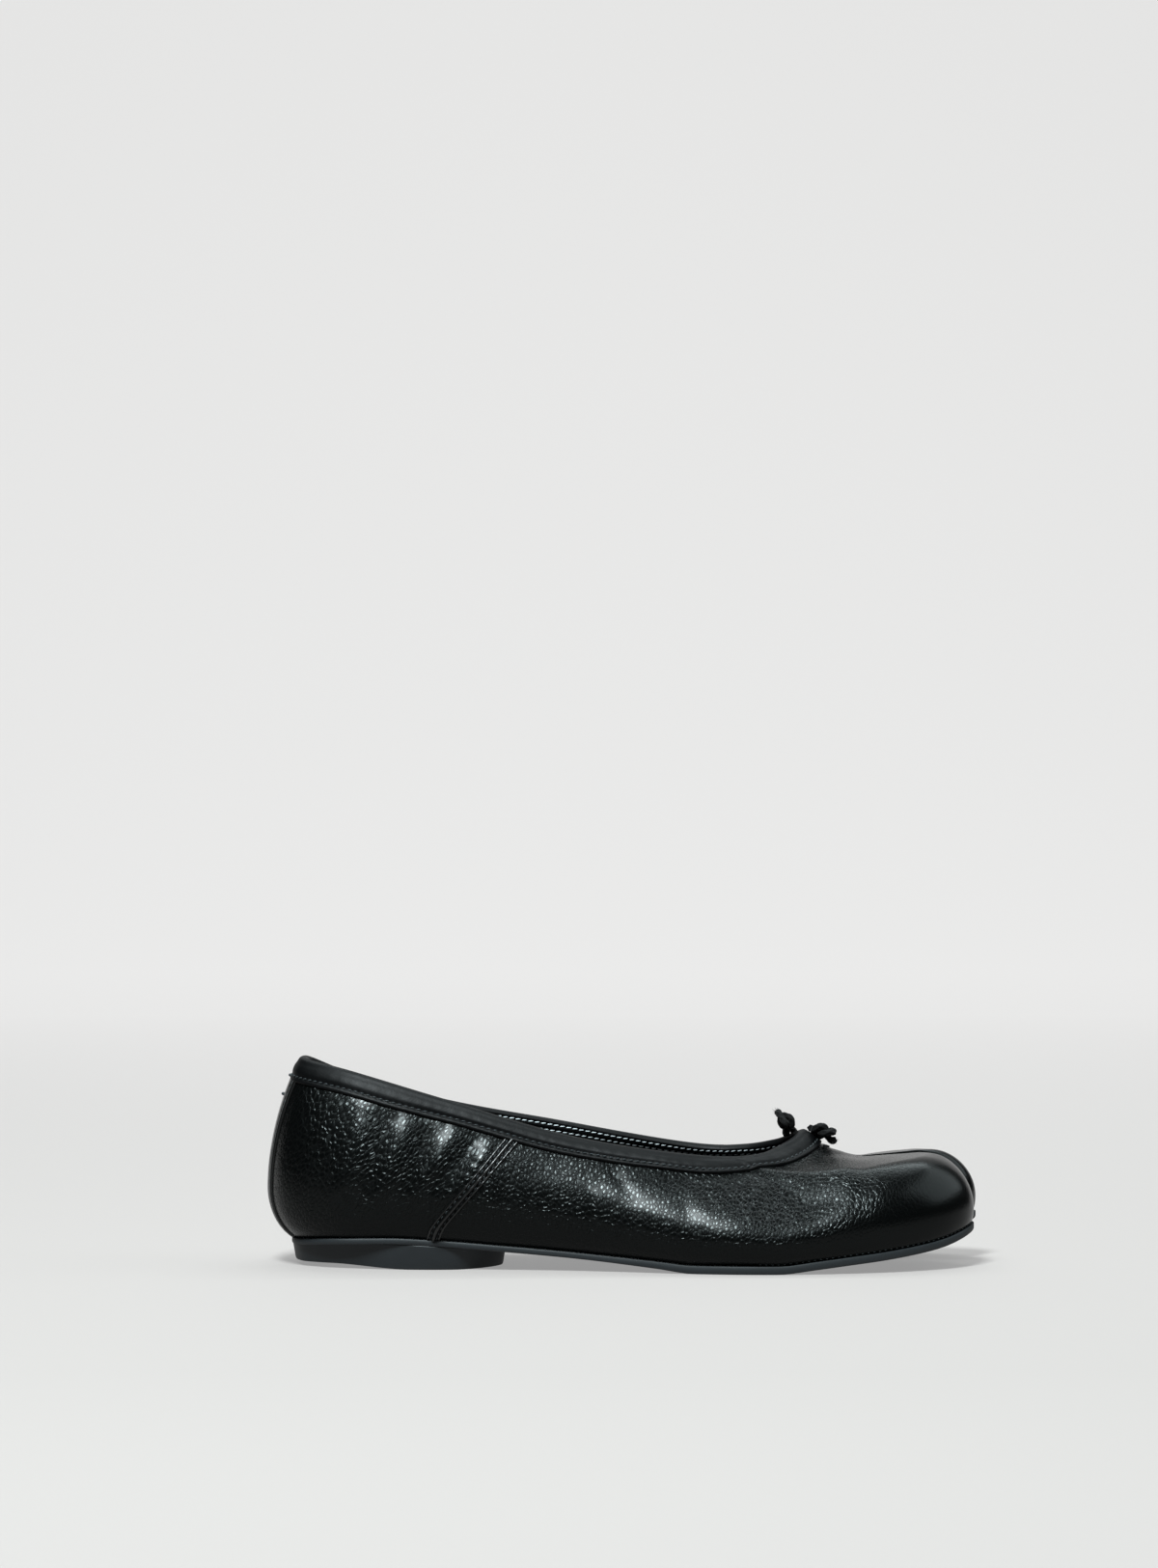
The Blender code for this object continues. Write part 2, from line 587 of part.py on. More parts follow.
def turned(roll, lean, swing):
    """Rotation by roll about Z, then by lean about Y, then by swing about Z."""
    turn = np.eye(3)
    for angle, axis in ((roll, 2), (lean, 1), (swing, 2)):
        cosine, sine = math.cos(math.radians(angle)), math.sin(math.radians(angle))
        first, second = (0, 1) if axis == 2 else (2, 0)
        step = np.eye(3)
        step[first, first] = step[second, second] = cosine
        step[first, second], step[second, first] = -sine, sine
        turn = step @ turn
    return turn


def build_cord_end(name, exit_share, knot_share, tail_share, angles, material):
    """A short cord end with one overhand knot, as a tube that passes clear of itself."""
    size = np.array([LENGTH, BALL_WIDTH, BACK_HEIGHT])
    leave, middle, tip = (np.array(share) * size for share in (exit_share, knot_share, tail_share))
    angle = np.linspace(math.pi / 6, math.pi * 11 / 6, KNOT_POINTS)
    strand = KNOT_STRAND * CORD_DIAMETER
    out = KNOT_RING * CORD_DIAMETER + strand * np.cos(3 * angle)
    knot = np.column_stack([out * np.cos(2 * angle), out * np.sin(2 * angle), strand * np.sin(3 * angle)])
    knot = knot @ turned(*angles).T + middle
    into = (knot[0] - knot[1]) / np.linalg.norm(knot[0] - knot[1]) * CORD_DIAMETER
    out_of = (knot[-1] - knot[-2]) / np.linalg.norm(knot[-1] - knot[-2]) * CORD_DIAMETER
    lead = bezier(leave, leave * 0.5 + (knot[0] + into) * 0.5, knot[0] + into, knot[0])
    tail = bezier(knot[-1], knot[-1] + out_of, tip * 0.5 + (knot[-1] + out_of) * 0.5, tip)
    route = np.vstack([lead[:-1], knot, tail[1:]]) - [ORIGIN_ALONG * LENGTH, 0, 0]
    curve = bpy.data.curves.new(name, "CURVE")
    curve.dimensions = "3D"
    curve.bevel_depth = CORD_DIAMETER / 2
    curve.bevel_resolution = 2
    curve.use_fill_caps = True
    spline = curve.splines.new("POLY")
    spline.points.add(len(route) - 1)
    for point, place in zip(spline.points, route):
        point.co = (*place, 1)
    curve.materials.append(material)
    obj = bpy.data.objects.new(name, curve)
    bpy.context.scene.collection.objects.link(obj)
    return obj


def bezier(start, leave, arrive, end, steps=6):
    share = np.linspace(0, 1, steps)[:, None]
    return (start * (1 - share) ** 3 + leave * 3 * share * (1 - share) ** 2
            + arrive * 3 * share ** 2 * (1 - share) + end * share ** 3)


def main():
    clear_scene()
    leather = finish("grained_leather", LEATHER, 0.45)
    binding = finish("binding_leather", BINDING_BLACK, 0.55)
    rubber = finish("sole_rubber", RUBBER, 0.7)
    lining = finish("lining_leather", LINING, 0.6)
    cord = finish("braided_cord", CORD_BLACK, 0.9)
    last = Last()
    build_sole(last, rubber)
    build_heel(finish("heel_rubber", RUBBER, 0.7))
    build_insole(last, lining)
    build_upper(last, leather)
    build_binding(last, binding)
    build_backstay(last, finish("backstay_leather", LEATHER, 0.45))
    build_seam_strip(last, "seam_strip_lateral", -1, finish("strip_leather", LEATHER, 0.45))
    build_seam_strip(last, "seam_strip_medial", 1, finish("strip_leather_inner", LEATHER, 0.45))
    for name, leave, middle, tip, *angles in CORD_ENDS:
        build_cord_end(name, leave, middle, tip, angles, cord)


if __name__ == "__main__":
    main()
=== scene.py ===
"""Looks of a right split-toe ballet flat in black grained leather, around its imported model.

Metres, +X to the toe, +Y to the inner side of the foot, +Z up. Points are worked out from the
back of the heel, and place() moves them to the row's origin at the middle of the heel's tread.
"""

import logging
import math
from collections.abc import Callable
from dataclasses import dataclass, field
from enum import Enum

import bmesh
import bpy
import numpy as np
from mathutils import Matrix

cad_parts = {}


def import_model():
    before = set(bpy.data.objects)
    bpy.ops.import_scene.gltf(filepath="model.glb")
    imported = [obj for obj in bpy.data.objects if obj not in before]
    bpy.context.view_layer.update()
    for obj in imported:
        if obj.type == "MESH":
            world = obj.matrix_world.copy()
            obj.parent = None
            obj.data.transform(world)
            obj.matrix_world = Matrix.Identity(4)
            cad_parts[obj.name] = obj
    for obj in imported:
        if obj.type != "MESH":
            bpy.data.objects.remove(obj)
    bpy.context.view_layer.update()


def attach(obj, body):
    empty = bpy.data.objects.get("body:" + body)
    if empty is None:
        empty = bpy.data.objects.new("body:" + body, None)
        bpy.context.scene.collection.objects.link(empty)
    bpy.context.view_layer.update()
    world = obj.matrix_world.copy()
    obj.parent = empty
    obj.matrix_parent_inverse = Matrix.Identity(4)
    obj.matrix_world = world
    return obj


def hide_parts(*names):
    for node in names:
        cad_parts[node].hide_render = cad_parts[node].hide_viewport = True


log = logging.getLogger("ballet_flat")

MM = 0.001
LENGTH = 0.2520
BALL_WIDTH = 0.0880
BACK_HEIGHT = 0.0712
CROWN_HEIGHT = 0.0388
HEEL_HEIGHT = 0.0089
TOE_SPRING = 0.0137
WAIST_SOLE = 0.0021
FORE_SOLE = 0.0029
UPPER_WALL = 0.0016
BINDING_WIDTH = 0.0060
GAP = 0.0003
ORIGIN_ALONG = 0.262
SEAT_TURN = math.radians(24)
DOME_ROWS_LOST = 0.6
TURN = 2 * math.pi
CREASE_STRENGTH = 2.3
ALL_SMOOTH = 120.0

SECTION_COLUMNS = (
    "along", "across", "overhang", "bulge", "reach", "turn", "front", "upright", "ramp",
    "leave", "knee_along", "knee_across", "collar_along", "collar_across", "collar_height",
)
SECTIONS = (
    # name, steps, along, across, overhang, bulge, reach, turn, front, upright, ramp,
    # leave, knee along, knee across, collar along, collar across, collar height
    ("heel_back", 4, 0.0044, 0.000, 0.098, 0.44, 0.90, 62, 0, 0.35, 0.060,
     0.040, 0.033, 0.000, 0.0476, 0.000, 1.000),
    ("heel_turn_inner", 4, 0.025, 0.199, 0.085, 0.44, 0.90, 61, 0, 0.35, 0.060,
     0.042, 0.047, 0.140, 0.0587, 0.108, 0.985),
    ("heel_side_inner", 4, 0.095, 0.335, 0.060, 0.42, 0.90, 60, 0, 0.4, 0.060,
     0.044, 0.108, 0.247, 0.1150, 0.199, 0.900),
    ("arch_inner", 5, 0.238, 0.358, 0.058, 0.40, 0.90, 64, 0, 0.55, 0.050,
     0.034, 0.243, 0.288, 0.2460, 0.250, 0.765),
    ("waist_inner", 6, 0.417, 0.341, 0.056, 0.38, 0.90, 60, 0, 0.6, 0.040,
     0.022, 0.414, 0.300, 0.4130, 0.278, 0.652),
    ("joint_inner", 5, 0.655, 0.472, 0.040, 0.32, 0.60, 72, 0.4, 0.6, 0.036,
     0.070, 0.616, 0.350, 0.5950, 0.284, 0.549),
    ("toe_side_inner", 4, 0.841, 0.452, 0.030, 0.31, 0.26, 90, 1, 0, 0.036,
     0.114, 0.778, 0.307, 0.6770, 0.239, 0.547),
    ("toe_turn_inner", 3, 0.940, 0.378, 0.021, 0.23, 0.23, 90, 1, 0, 0.040,
     0.100, 0.841, 0.290, 0.7180, 0.170, 0.576),
    ("big_toe_turn", 2, 0.984, 0.300, 0.013, 0.16, 0.21, 90, 1, 0, 0.048,
     0.090, 0.881, 0.250, 0.7320, 0.125, 0.596),
    ("big_toe_tip", 2, 1.000, 0.219, 0.010, 0.13, 0.20, 90, 1, 0, 0.056,
     0.090, 0.889, 0.210, 0.7410, 0.092, 0.614),
    ("big_toe_round", 3, 0.989, 0.142, 0.013, 0.17, 0.16, 90, 1, 0, 0.062,
     0.070, 0.889, 0.176, 0.7480, 0.068, 0.626),
    ("mouth_inner", 3, 0.956, 0.098, 0.019, 0.26, 0.12, 90, 1, 0, 0.066,
     0.055, 0.873, 0.150, 0.7515, 0.050, 0.633),
    ("cleft_inner", 4, 0.905, 0.090, 0.024, 0.31, 0.09, 90, 1, 0, 0.066,
     0.045, 0.845, 0.117, 0.7538, 0.034, 0.638),
    ("cleft_root", 4, 0.851, 0.070, 0.024, 0.31, 0.05, 90, 1, 0, 0.066,
     0.030, 0.817, 0.057, 0.7548, 0.018, 0.640),
    ("cleft_outer", 3, 0.905, 0.054, 0.024, 0.31, 0.09, 90, 1, 0, 0.066,
     0.045, 0.845, 0.003, 0.7542, 0.002, 0.640),
    ("mouth_outer", 3, 0.952, 0.041, 0.019, 0.26, 0.12, 90, 1, 0, 0.066,
     0.055, 0.873, -0.040, 0.7528, -0.016, 0.637),
    ("small_toe_round", 2, 0.980, -0.011, 0.013, 0.17, 0.16, 90, 1, 0, 0.062,
     0.070, 0.881, -0.080, 0.7500, -0.038, 0.630),
    ("small_toe_tip", 3, 0.988, -0.102, 0.010, 0.13, 0.20, 90, 1, 0, 0.056,
     0.090, 0.881, -0.125, 0.7440, -0.072, 0.616),
    ("small_toe_turn", 3, 0.976, -0.216, 0.013, 0.16, 0.21, 90, 1, 0, 0.048,
     0.090, 0.869, -0.188, 0.7350, -0.108, 0.598),
    ("toe_turn_outer", 4, 0.936, -0.341, 0.021, 0.20, 0.23, 90, 1, 0, 0.040,
     0.100, 0.833, -0.261, 0.7200, -0.148, 0.574),
    ("toe_side_outer", 5, 0.845, -0.466, 0.030, 0.22, 0.27, 90, 1, 0, 0.036,
     0.114, 0.774, -0.318, 0.6870, -0.222, 0.542),
    ("joint_outer", 6, 0.675, -0.528, 0.040, 0.20, 0.60, 72, 0.4, 0.6, 0.036,
     0.080, 0.628, -0.369, 0.6030, -0.284, 0.541),
    ("waist_outer", 5, 0.429, -0.420, 0.056, 0.31, 0.90, 60, 0, 0.6, 0.040,
     0.045, 0.423, -0.332, 0.4210, -0.284, 0.635),
    ("flank_outer", 4, 0.246, -0.375, 0.058, 0.40, 0.90, 64, 0, 0.6, 0.050,
     0.038, 0.251, -0.298, 0.2540, -0.256, 0.802),
    ("heel_side_outer", 4, 0.095, -0.335, 0.060, 0.42, 0.90, 60, 0, 0.4, 0.060,
     0.044, 0.111, -0.250, 0.1190, -0.205, 0.941),
    ("heel_turn_outer", 4, 0.025, -0.199, 0.085, 0.44, 0.90, 61, 0, 0.35, 0.060,
     0.042, 0.047, -0.140, 0.0587, -0.108, 0.988),
)

PROFILE = (
    # along, heel, spring, fore
    (0.000, 0.76, 0.00, 0.00),
    (0.036, 0.81, 0.00, 0.00),
    (0.100, 0.96, 0.00, 0.00),
    (0.170, 1.00, 0.00, 0.00),
    (0.250, 0.90, 0.00, 0.00),
    (0.333, 0.73, 0.00, 0.00),
    (0.437, 0.49, 0.00, 0.00),
    (0.544, 0.17, 0.00, 0.55),
    (0.595, 0.00, 0.00, 1.00),
    (0.706, 0.00, 0.00, 1.00),
    (0.766, 0.00, 0.12, 1.00),
    (0.806, 0.00, 0.21, 1.00),
    (0.861, 0.00, 0.33, 1.00),
    (0.917, 0.00, 0.49, 1.00),
    (0.944, 0.00, 0.60, 0.95),
    (0.976, 0.00, 0.81, 0.80),
    (1.000, 0.00, 1.03, 0.60),
)

CROWN = (
    # along, height, camber
    (0.60, 1.000, 0.34),
    (0.74, 1.000, 0.32),
    (0.80, 0.995, 0.20),
    (0.833, 0.955, 0.12),
    (0.855, 0.965, 0.08),
    (0.893, 0.985, 0.05),
    (0.921, 1.000, 0.05),
    (1.000, 1.000, 0.05),
)

HEEL_OUTLINE = (
    # along, outer half width, inner half width
    (0.0365, 0.000, 0.000),
    (0.0476, 0.139, 0.137),
    (0.0675, 0.193, 0.190),
    (0.1071, 0.250, 0.246),
    (0.1667, 0.301, 0.290),
    (0.2341, 0.322, 0.303),
    (0.2738, 0.308, 0.293),
    (0.3036, 0.250, 0.240),
    (0.3214, 0.190, 0.184),
    (0.3333, 0.119, 0.117),
    (0.3349, 0.050, 0.050),
    (0.3349, 0.000, 0.000),
)

SEAM_LINE = (
    # share of the height between sole and binding, along
    (0.00, 0.2360),
    (0.10, 0.2410),
    (0.33, 0.2650),
    (0.56, 0.2930),
    (1.00, 0.3450),
)

BINDING_FALL = (
    # along, share
    (0.00, 1.22),
    (0.16, 1.22),
    (0.30, 1.05),
    (0.52, 1.10),
    (0.62, 1.28),
    (0.70, 1.30),
    (0.76, 1.10),
)


class Side(Enum):
    """The two flanks of the shoe, by the sign of Y."""

    OUTER = -1
    INNER = 1


class CordEnd(Enum):
    """The two ends of the drawcord."""

    REAR = "drawcord_rear"
    FRONT = "drawcord_front"


# Small tools for numbers, meshes and shader nodes


def linear(hex_colour: str) -> tuple[float, float, float, float]:
    """Turns an sRGB hex colour into linear RGBA.

    Args:
        hex_colour: colour such as "#1a2b3c".

    Returns:
        Linear red, green, blue and an alpha of one.
    """
    shares = [int(hex_colour[at:at + 2], 16) / 255 for at in (1, 3, 5)]
    red, green, blue = (s / 12.92 if s <= 0.04045 else ((s + 0.055) / 1.055) ** 2.4 for s in shares)
    return red, green, blue, 1.0


def place(points: np.ndarray) -> np.ndarray:
    """Moves points measured from the back of the heel to the row's origin."""
    return np.asarray(points, float) - [ORIGIN_ALONG * LENGTH, 0, 0]


def ease(value: np.ndarray, low: float, high: float) -> np.ndarray:
    """Rises smoothly from 0 at low to 1 at high, or falls where high is the smaller."""
    share = np.clip((np.asarray(value, float) - low) / (high - low), 0, 1)
    return share * share * (3 - 2 * share)


def smooth_curve(knots: np.ndarray, values: np.ndarray, at: np.ndarray) -> np.ndarray:
    """Cubic curve through the values that never swings past them.

    Args:
        knots: places of the values, rising.
        values: the values.
        at: places to read.

    Returns:
        The curve's value at each place.
    """
    knots, values, at = (np.asarray(each, float) for each in (knots, values, at))
    step = np.diff(knots)
    slope = np.diff(values) / step
    tangent = np.zeros(len(values))
    before, after = slope[:-1], slope[1:]
    same_way = before * after > 0
    both = np.where(same_way, before + after, 1.0)
    tangent[1:-1] = np.where(same_way, 2 * before * after / both, 0.0)
    tangent[0], tangent[-1] = slope[0], slope[-1]
    span = np.clip(np.searchsorted(knots, at, side="right") - 1, 0, len(step) - 1)
    share = np.clip((at - knots[span]) / step[span], 0, 1)
    rise = share * share * (3 - 2 * share)
    lead = share * (1 - share) ** 2 * step[span]
    trail = share * share * (share - 1) * step[span]
    start, end = values[span], values[span + 1]
    return start + (end - start) * rise + lead * tangent[span] + trail * tangent[span + 1]


def closed_curve(rows: np.ndarray, steps: list[int], plan: np.ndarray) -> np.ndarray:
    """Rows joined by a closed centripetal curve, whose pace follows the plan columns.

    Args:
        rows: one row of numbers for each knot.
        steps: number of points from each knot to the next.
        plan: the two plan columns of the rows.

    Returns:
        The rows of the finer closed curve.
    """
    count = len(rows)
    pace = np.sqrt(np.linalg.norm(np.roll(plan, -1, axis=0) - plan, axis=1))
    chord = (np.roll(rows, -1, axis=0) - rows) / pace[:, None]
    previous_pace = np.roll(pace, 1)
    tangent = np.roll(chord, 1, axis=0) * pace[:, None] + chord * previous_pace[:, None]
    tangent /= (pace + previous_pace)[:, None]
    points = []
    for index in range(count):
        after = (index + 1) % count
        for step in range(steps[index]):
            share = step / steps[index]
            rise = share * share * (3 - 2 * share)
            lead = share * (1 - share) ** 2 * pace[index]
            trail = share * share * (share - 1) * pace[index]
            points.append(rows[index] * (1 - rise) + rows[after] * rise
                          + tangent[index] * lead + tangent[after] * trail)
    return np.array(points)


def run_of(path: np.ndarray) -> np.ndarray:
    """Distance along a path from its first point to each of its points."""
    return np.concatenate([[0], np.cumsum(np.linalg.norm(np.diff(path, axis=0), axis=1))])


def cubic(start: np.ndarray, leave: np.ndarray, arrive: np.ndarray, end: np.ndarray,
          count: int) -> np.ndarray:
    """Points on a cubic curve.

    Args:
        start: its first point.
        leave: the point that it sets out towards.
        arrive: the point that it comes in from.
        end: its last point.
        count: number of points.

    Returns:
        The points.
    """
    share = np.linspace(0, 1, count)[:, None]
    return (start * (1 - share) ** 3 + leave * 3 * share * (1 - share) ** 2
            + arrive * 3 * share ** 2 * (1 - share) + end * share ** 3)


def smooth_path(points: np.ndarray, count: int) -> np.ndarray:
    """Evenly spaced points on a smooth open curve through the given ones.

    Args:
        points: knots of the curve, in any number of dimensions.
        count: number of points to return.

    Returns:
        The evenly spaced points.
    """
    points = np.asarray(points, float)
    ends = np.vstack([2 * points[0] - points[1], points, 2 * points[-1] - points[-2]])
    fine = []
    share = np.linspace(0, 1, 12, endpoint=False)[:, None]
    for a, b, c, d in zip(ends, ends[1:], ends[2:], ends[3:]):
        fine.append(0.5 * (2 * b + (c - a) * share + (2 * a - 5 * b + 4 * c - d) * share ** 2
                           + (3 * b - a - 3 * c + d) * share ** 3))
    fine = np.vstack(fine + [points[-1:]])
    run = run_of(fine)
    even = np.linspace(0, run[-1], count)
    return np.column_stack([np.interp(even, run, column) for column in fine.T])


def unit(vectors: np.ndarray) -> np.ndarray:
    """Vectors scaled to length one."""
    return vectors / np.maximum(np.linalg.norm(vectors, axis=-1, keepdims=True), 1e-12)


def wander(at: np.ndarray, seed: int, pitch: float) -> np.ndarray:
    """A smooth random wave between about -1 and 1 along one coordinate.

    Args:
        at: places along the coordinate, in metres.
        seed: seed of the random phases.
        pitch: typical length of one wave, in metres.

    Returns:
        The wave's height at each place.
    """
    draw = np.random.default_rng(seed)
    total = np.zeros_like(np.asarray(at, float))
    for _ in range(5):
        length = pitch * draw.uniform(0.7, 1.6)
        total += np.sin(at * TURN / length + draw.uniform(0, TURN))
    return total / 3


def gathers(run: np.ndarray) -> np.ndarray:
    """The drawcord's small gathers, as a wave along the collar's edge."""
    return np.cos(run * TURN / (4.6 * MM) + 2.2 * wander(run, 5, 30 * MM))


def round_angles(sides: int) -> np.ndarray:
    """Evenly spaced angles once round a section."""
    return np.linspace(0, TURN, sides, endpoint=False)


def add_mesh(name: str, points: np.ndarray, faces: list, material: bpy.types.Material,
             sharp: float = 50.0) -> bpy.types.Object:
    """Adds a smooth-shaded mesh object in the row's frame.

    Args:
        name: the piece's name.
        points: vertices, measured from the back of the heel.
        faces: lists of vertex numbers.
        material: the finish.
        sharp: angle in degrees above which an edge stays sharp.

    Returns:
        The new object.
    """
    mesh = bpy.data.meshes.new(name)
    mesh.from_pydata(place(points).tolist(), [], [list(map(int, face)) for face in faces])
    work = bmesh.new()
    work.from_mesh(mesh)
    bmesh.ops.recalc_face_normals(work, faces=work.faces)
    work.to_mesh(mesh)
    work.free()
    mesh.shade_smooth()
    mesh.set_sharp_from_angle(angle=math.radians(sharp))
    mesh.materials.append(material)
    obj = bpy.data.objects.new(name, mesh)
    bpy.context.scene.collection.objects.link(obj)
    return obj


def grid_faces(rows: int, columns: int, rows_close: bool = False,
               columns_close: bool = False) -> list:
    """Quads of a grid of vertices stored row after row.

    Args:
        rows: number of rows.
        columns: number of columns.
        rows_close: the last row joins the first.
        columns_close: the last column joins the first.

    Returns:
        Lists of four vertex numbers.
    """
    row = np.arange(rows if rows_close else rows - 1)[:, None]
    column = np.arange(columns if columns_close else columns - 1)[None, :]
    below, beside = (row + 1) % rows, (column + 1) % columns
    quads = [row * columns + column, row * columns + beside,
             below * columns + beside, below * columns + column]
    return np.stack(np.broadcast_arrays(*quads), axis=-1).reshape(-1, 4).tolist()


def rings_on(spine: np.ndarray, reach: np.ndarray, across: np.ndarray, over: np.ndarray,
             turn: np.ndarray) -> np.ndarray:
    """Rings of points round a short straight spine, one after another.

    Args:
        spine: points along the middle.
        reach: radius at each of them.
        across: unit vector at right angles to the spine.
        over: unit vector at right angles to both.
        turn: angles of a ring's points.

    Returns:
        The points.
    """
    ring = np.cos(turn)[None, :, None] * across + np.sin(turn)[None, :, None] * over
    return (spine[:, None, :] + reach.reshape(-1, 1, 1) * ring).reshape(-1, 3)


def ring_faces(first: int, rings: int, sides: int) -> list:
    """Quads between rings of points.

    Args:
        first: number of the first ring's first vertex.
        rings: number of rings.
        sides: points in a ring.

    Returns:
        Lists of four vertex numbers.
    """
    quads = grid_faces(rings, sides, columns_close=True)
    return [[first + corner for corner in face] for face in quads]


def add_sheet(name: str, grid: np.ndarray, material: bpy.types.Material,
              closed: bool = False) -> bpy.types.Object:
    """Adds a smooth sheet over a grid of points.

    Args:
        name: the piece's name.
        grid: rows of columns of points, measured from the back of the heel.
        material: the finish.
        closed: the last row joins the first.

    Returns:
        The new object.
    """
    faces = grid_faces(*grid.shape[:2], rows_close=closed)
    return add_mesh(name, grid.reshape(-1, 3), faces, material, ALL_SMOOTH)


def tube(name: str, path: np.ndarray, radius: np.ndarray, material: bpy.types.Material,
         sides: int = 10, relief: np.ndarray | None = None) -> bpy.types.Object:
    """A capped tube along a path, with an optional relief on its skin.

    Args:
        name: the piece's name.
        path: points along the middle.
        radius: radius at each point.
        material: the finish.
        sides: corners of the section.
        relief: height to add at each point and side, as an array of points by sides.

    Returns:
        The new object.
    """
    along = unit(np.gradient(path, axis=0))
    side = unit(np.cross(along[0], [0.3, 0.2, 1.0]))
    rings = []
    turn = round_angles(sides)
    for index, point in enumerate(path):
        side = unit(side - along[index] * (side @ along[index]))
        up = np.cross(along[index], side)
        reach = np.full(sides, radius[index]) if relief is None else radius[index] + relief[index]
        ring = np.cos(turn)[:, None] * side + np.sin(turn)[:, None] * up
        rings.append(point + ring * reach[:, None])
    points = np.vstack(rings + [path[:1], path[-1:]])
    count = len(path)
    faces = grid_faces(count, sides, columns_close=True)
    final = (count - 1) * sides
    for corner in range(sides):
        beside = (corner + 1) % sides
        faces.append([count * sides, beside, corner])
        faces.append([count * sides + 1, final + corner, final + beside])
    return add_mesh(name, points, faces, material)


def fitted(pieces: list[bpy.types.Object], node: str) -> list[bpy.types.Object]:
    """Lets pieces ride on the shoe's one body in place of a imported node.

    Args:
        pieces: the pieces.
        node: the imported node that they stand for.

    Returns:
        The pieces.
    """
    for piece in pieces:
        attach(piece, "root")
        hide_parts(node)
    return pieces


def add_node(tree: bpy.types.NodeTree, kind: str, settings: dict | None = None,
             **links: bpy.types.NodeSocket) -> bpy.types.Node:
    """Adds a shader node with its settings and links.

    Args:
        tree: the node tree.
        kind: Blender's node type.
        settings: attribute names, or input sockets by name or number, and their values.
        links: input socket names, with _ for a space, or in_ and a number, and the output
            socket to link.

    Returns:
        The new node.
    """
    return fill_in(tree, tree.nodes.new(kind), settings or {}, **links)


def fill_in(tree: bpy.types.NodeTree, node: bpy.types.Node, settings: dict,
            **links: bpy.types.NodeSocket) -> bpy.types.Node:
    """Gives a shader node its settings and links.

    Args:
        tree: the node tree.
        node: the node.
        settings: as in add_node.
        links: as in add_node.

    Returns:
        The node.
    """
    for key, value in settings.items():
        if isinstance(key, int) or key in node.inputs:
            node.inputs[key].default_value = value
        else:
            setattr(node, key, value)
    for key, output in links.items():
        socket = int(key[3:]) if key.startswith("in_") else key.replace("_", " ")
        tree.links.new(output, node.inputs[socket])
    return node


def new_material(name: str) -> tuple[bpy.types.Material, bpy.types.NodeTree, bpy.types.Node]:
    """A material with an empty Principled shader.

    Args:
        name: the material's name.

    Returns:
        The material, its node tree and its shader.
    """
    material = bpy.data.materials.new(name)
    material.use_nodes = True
    tree = material.node_tree
    return material, tree, tree.nodes["Principled BSDF"]


# Finishes


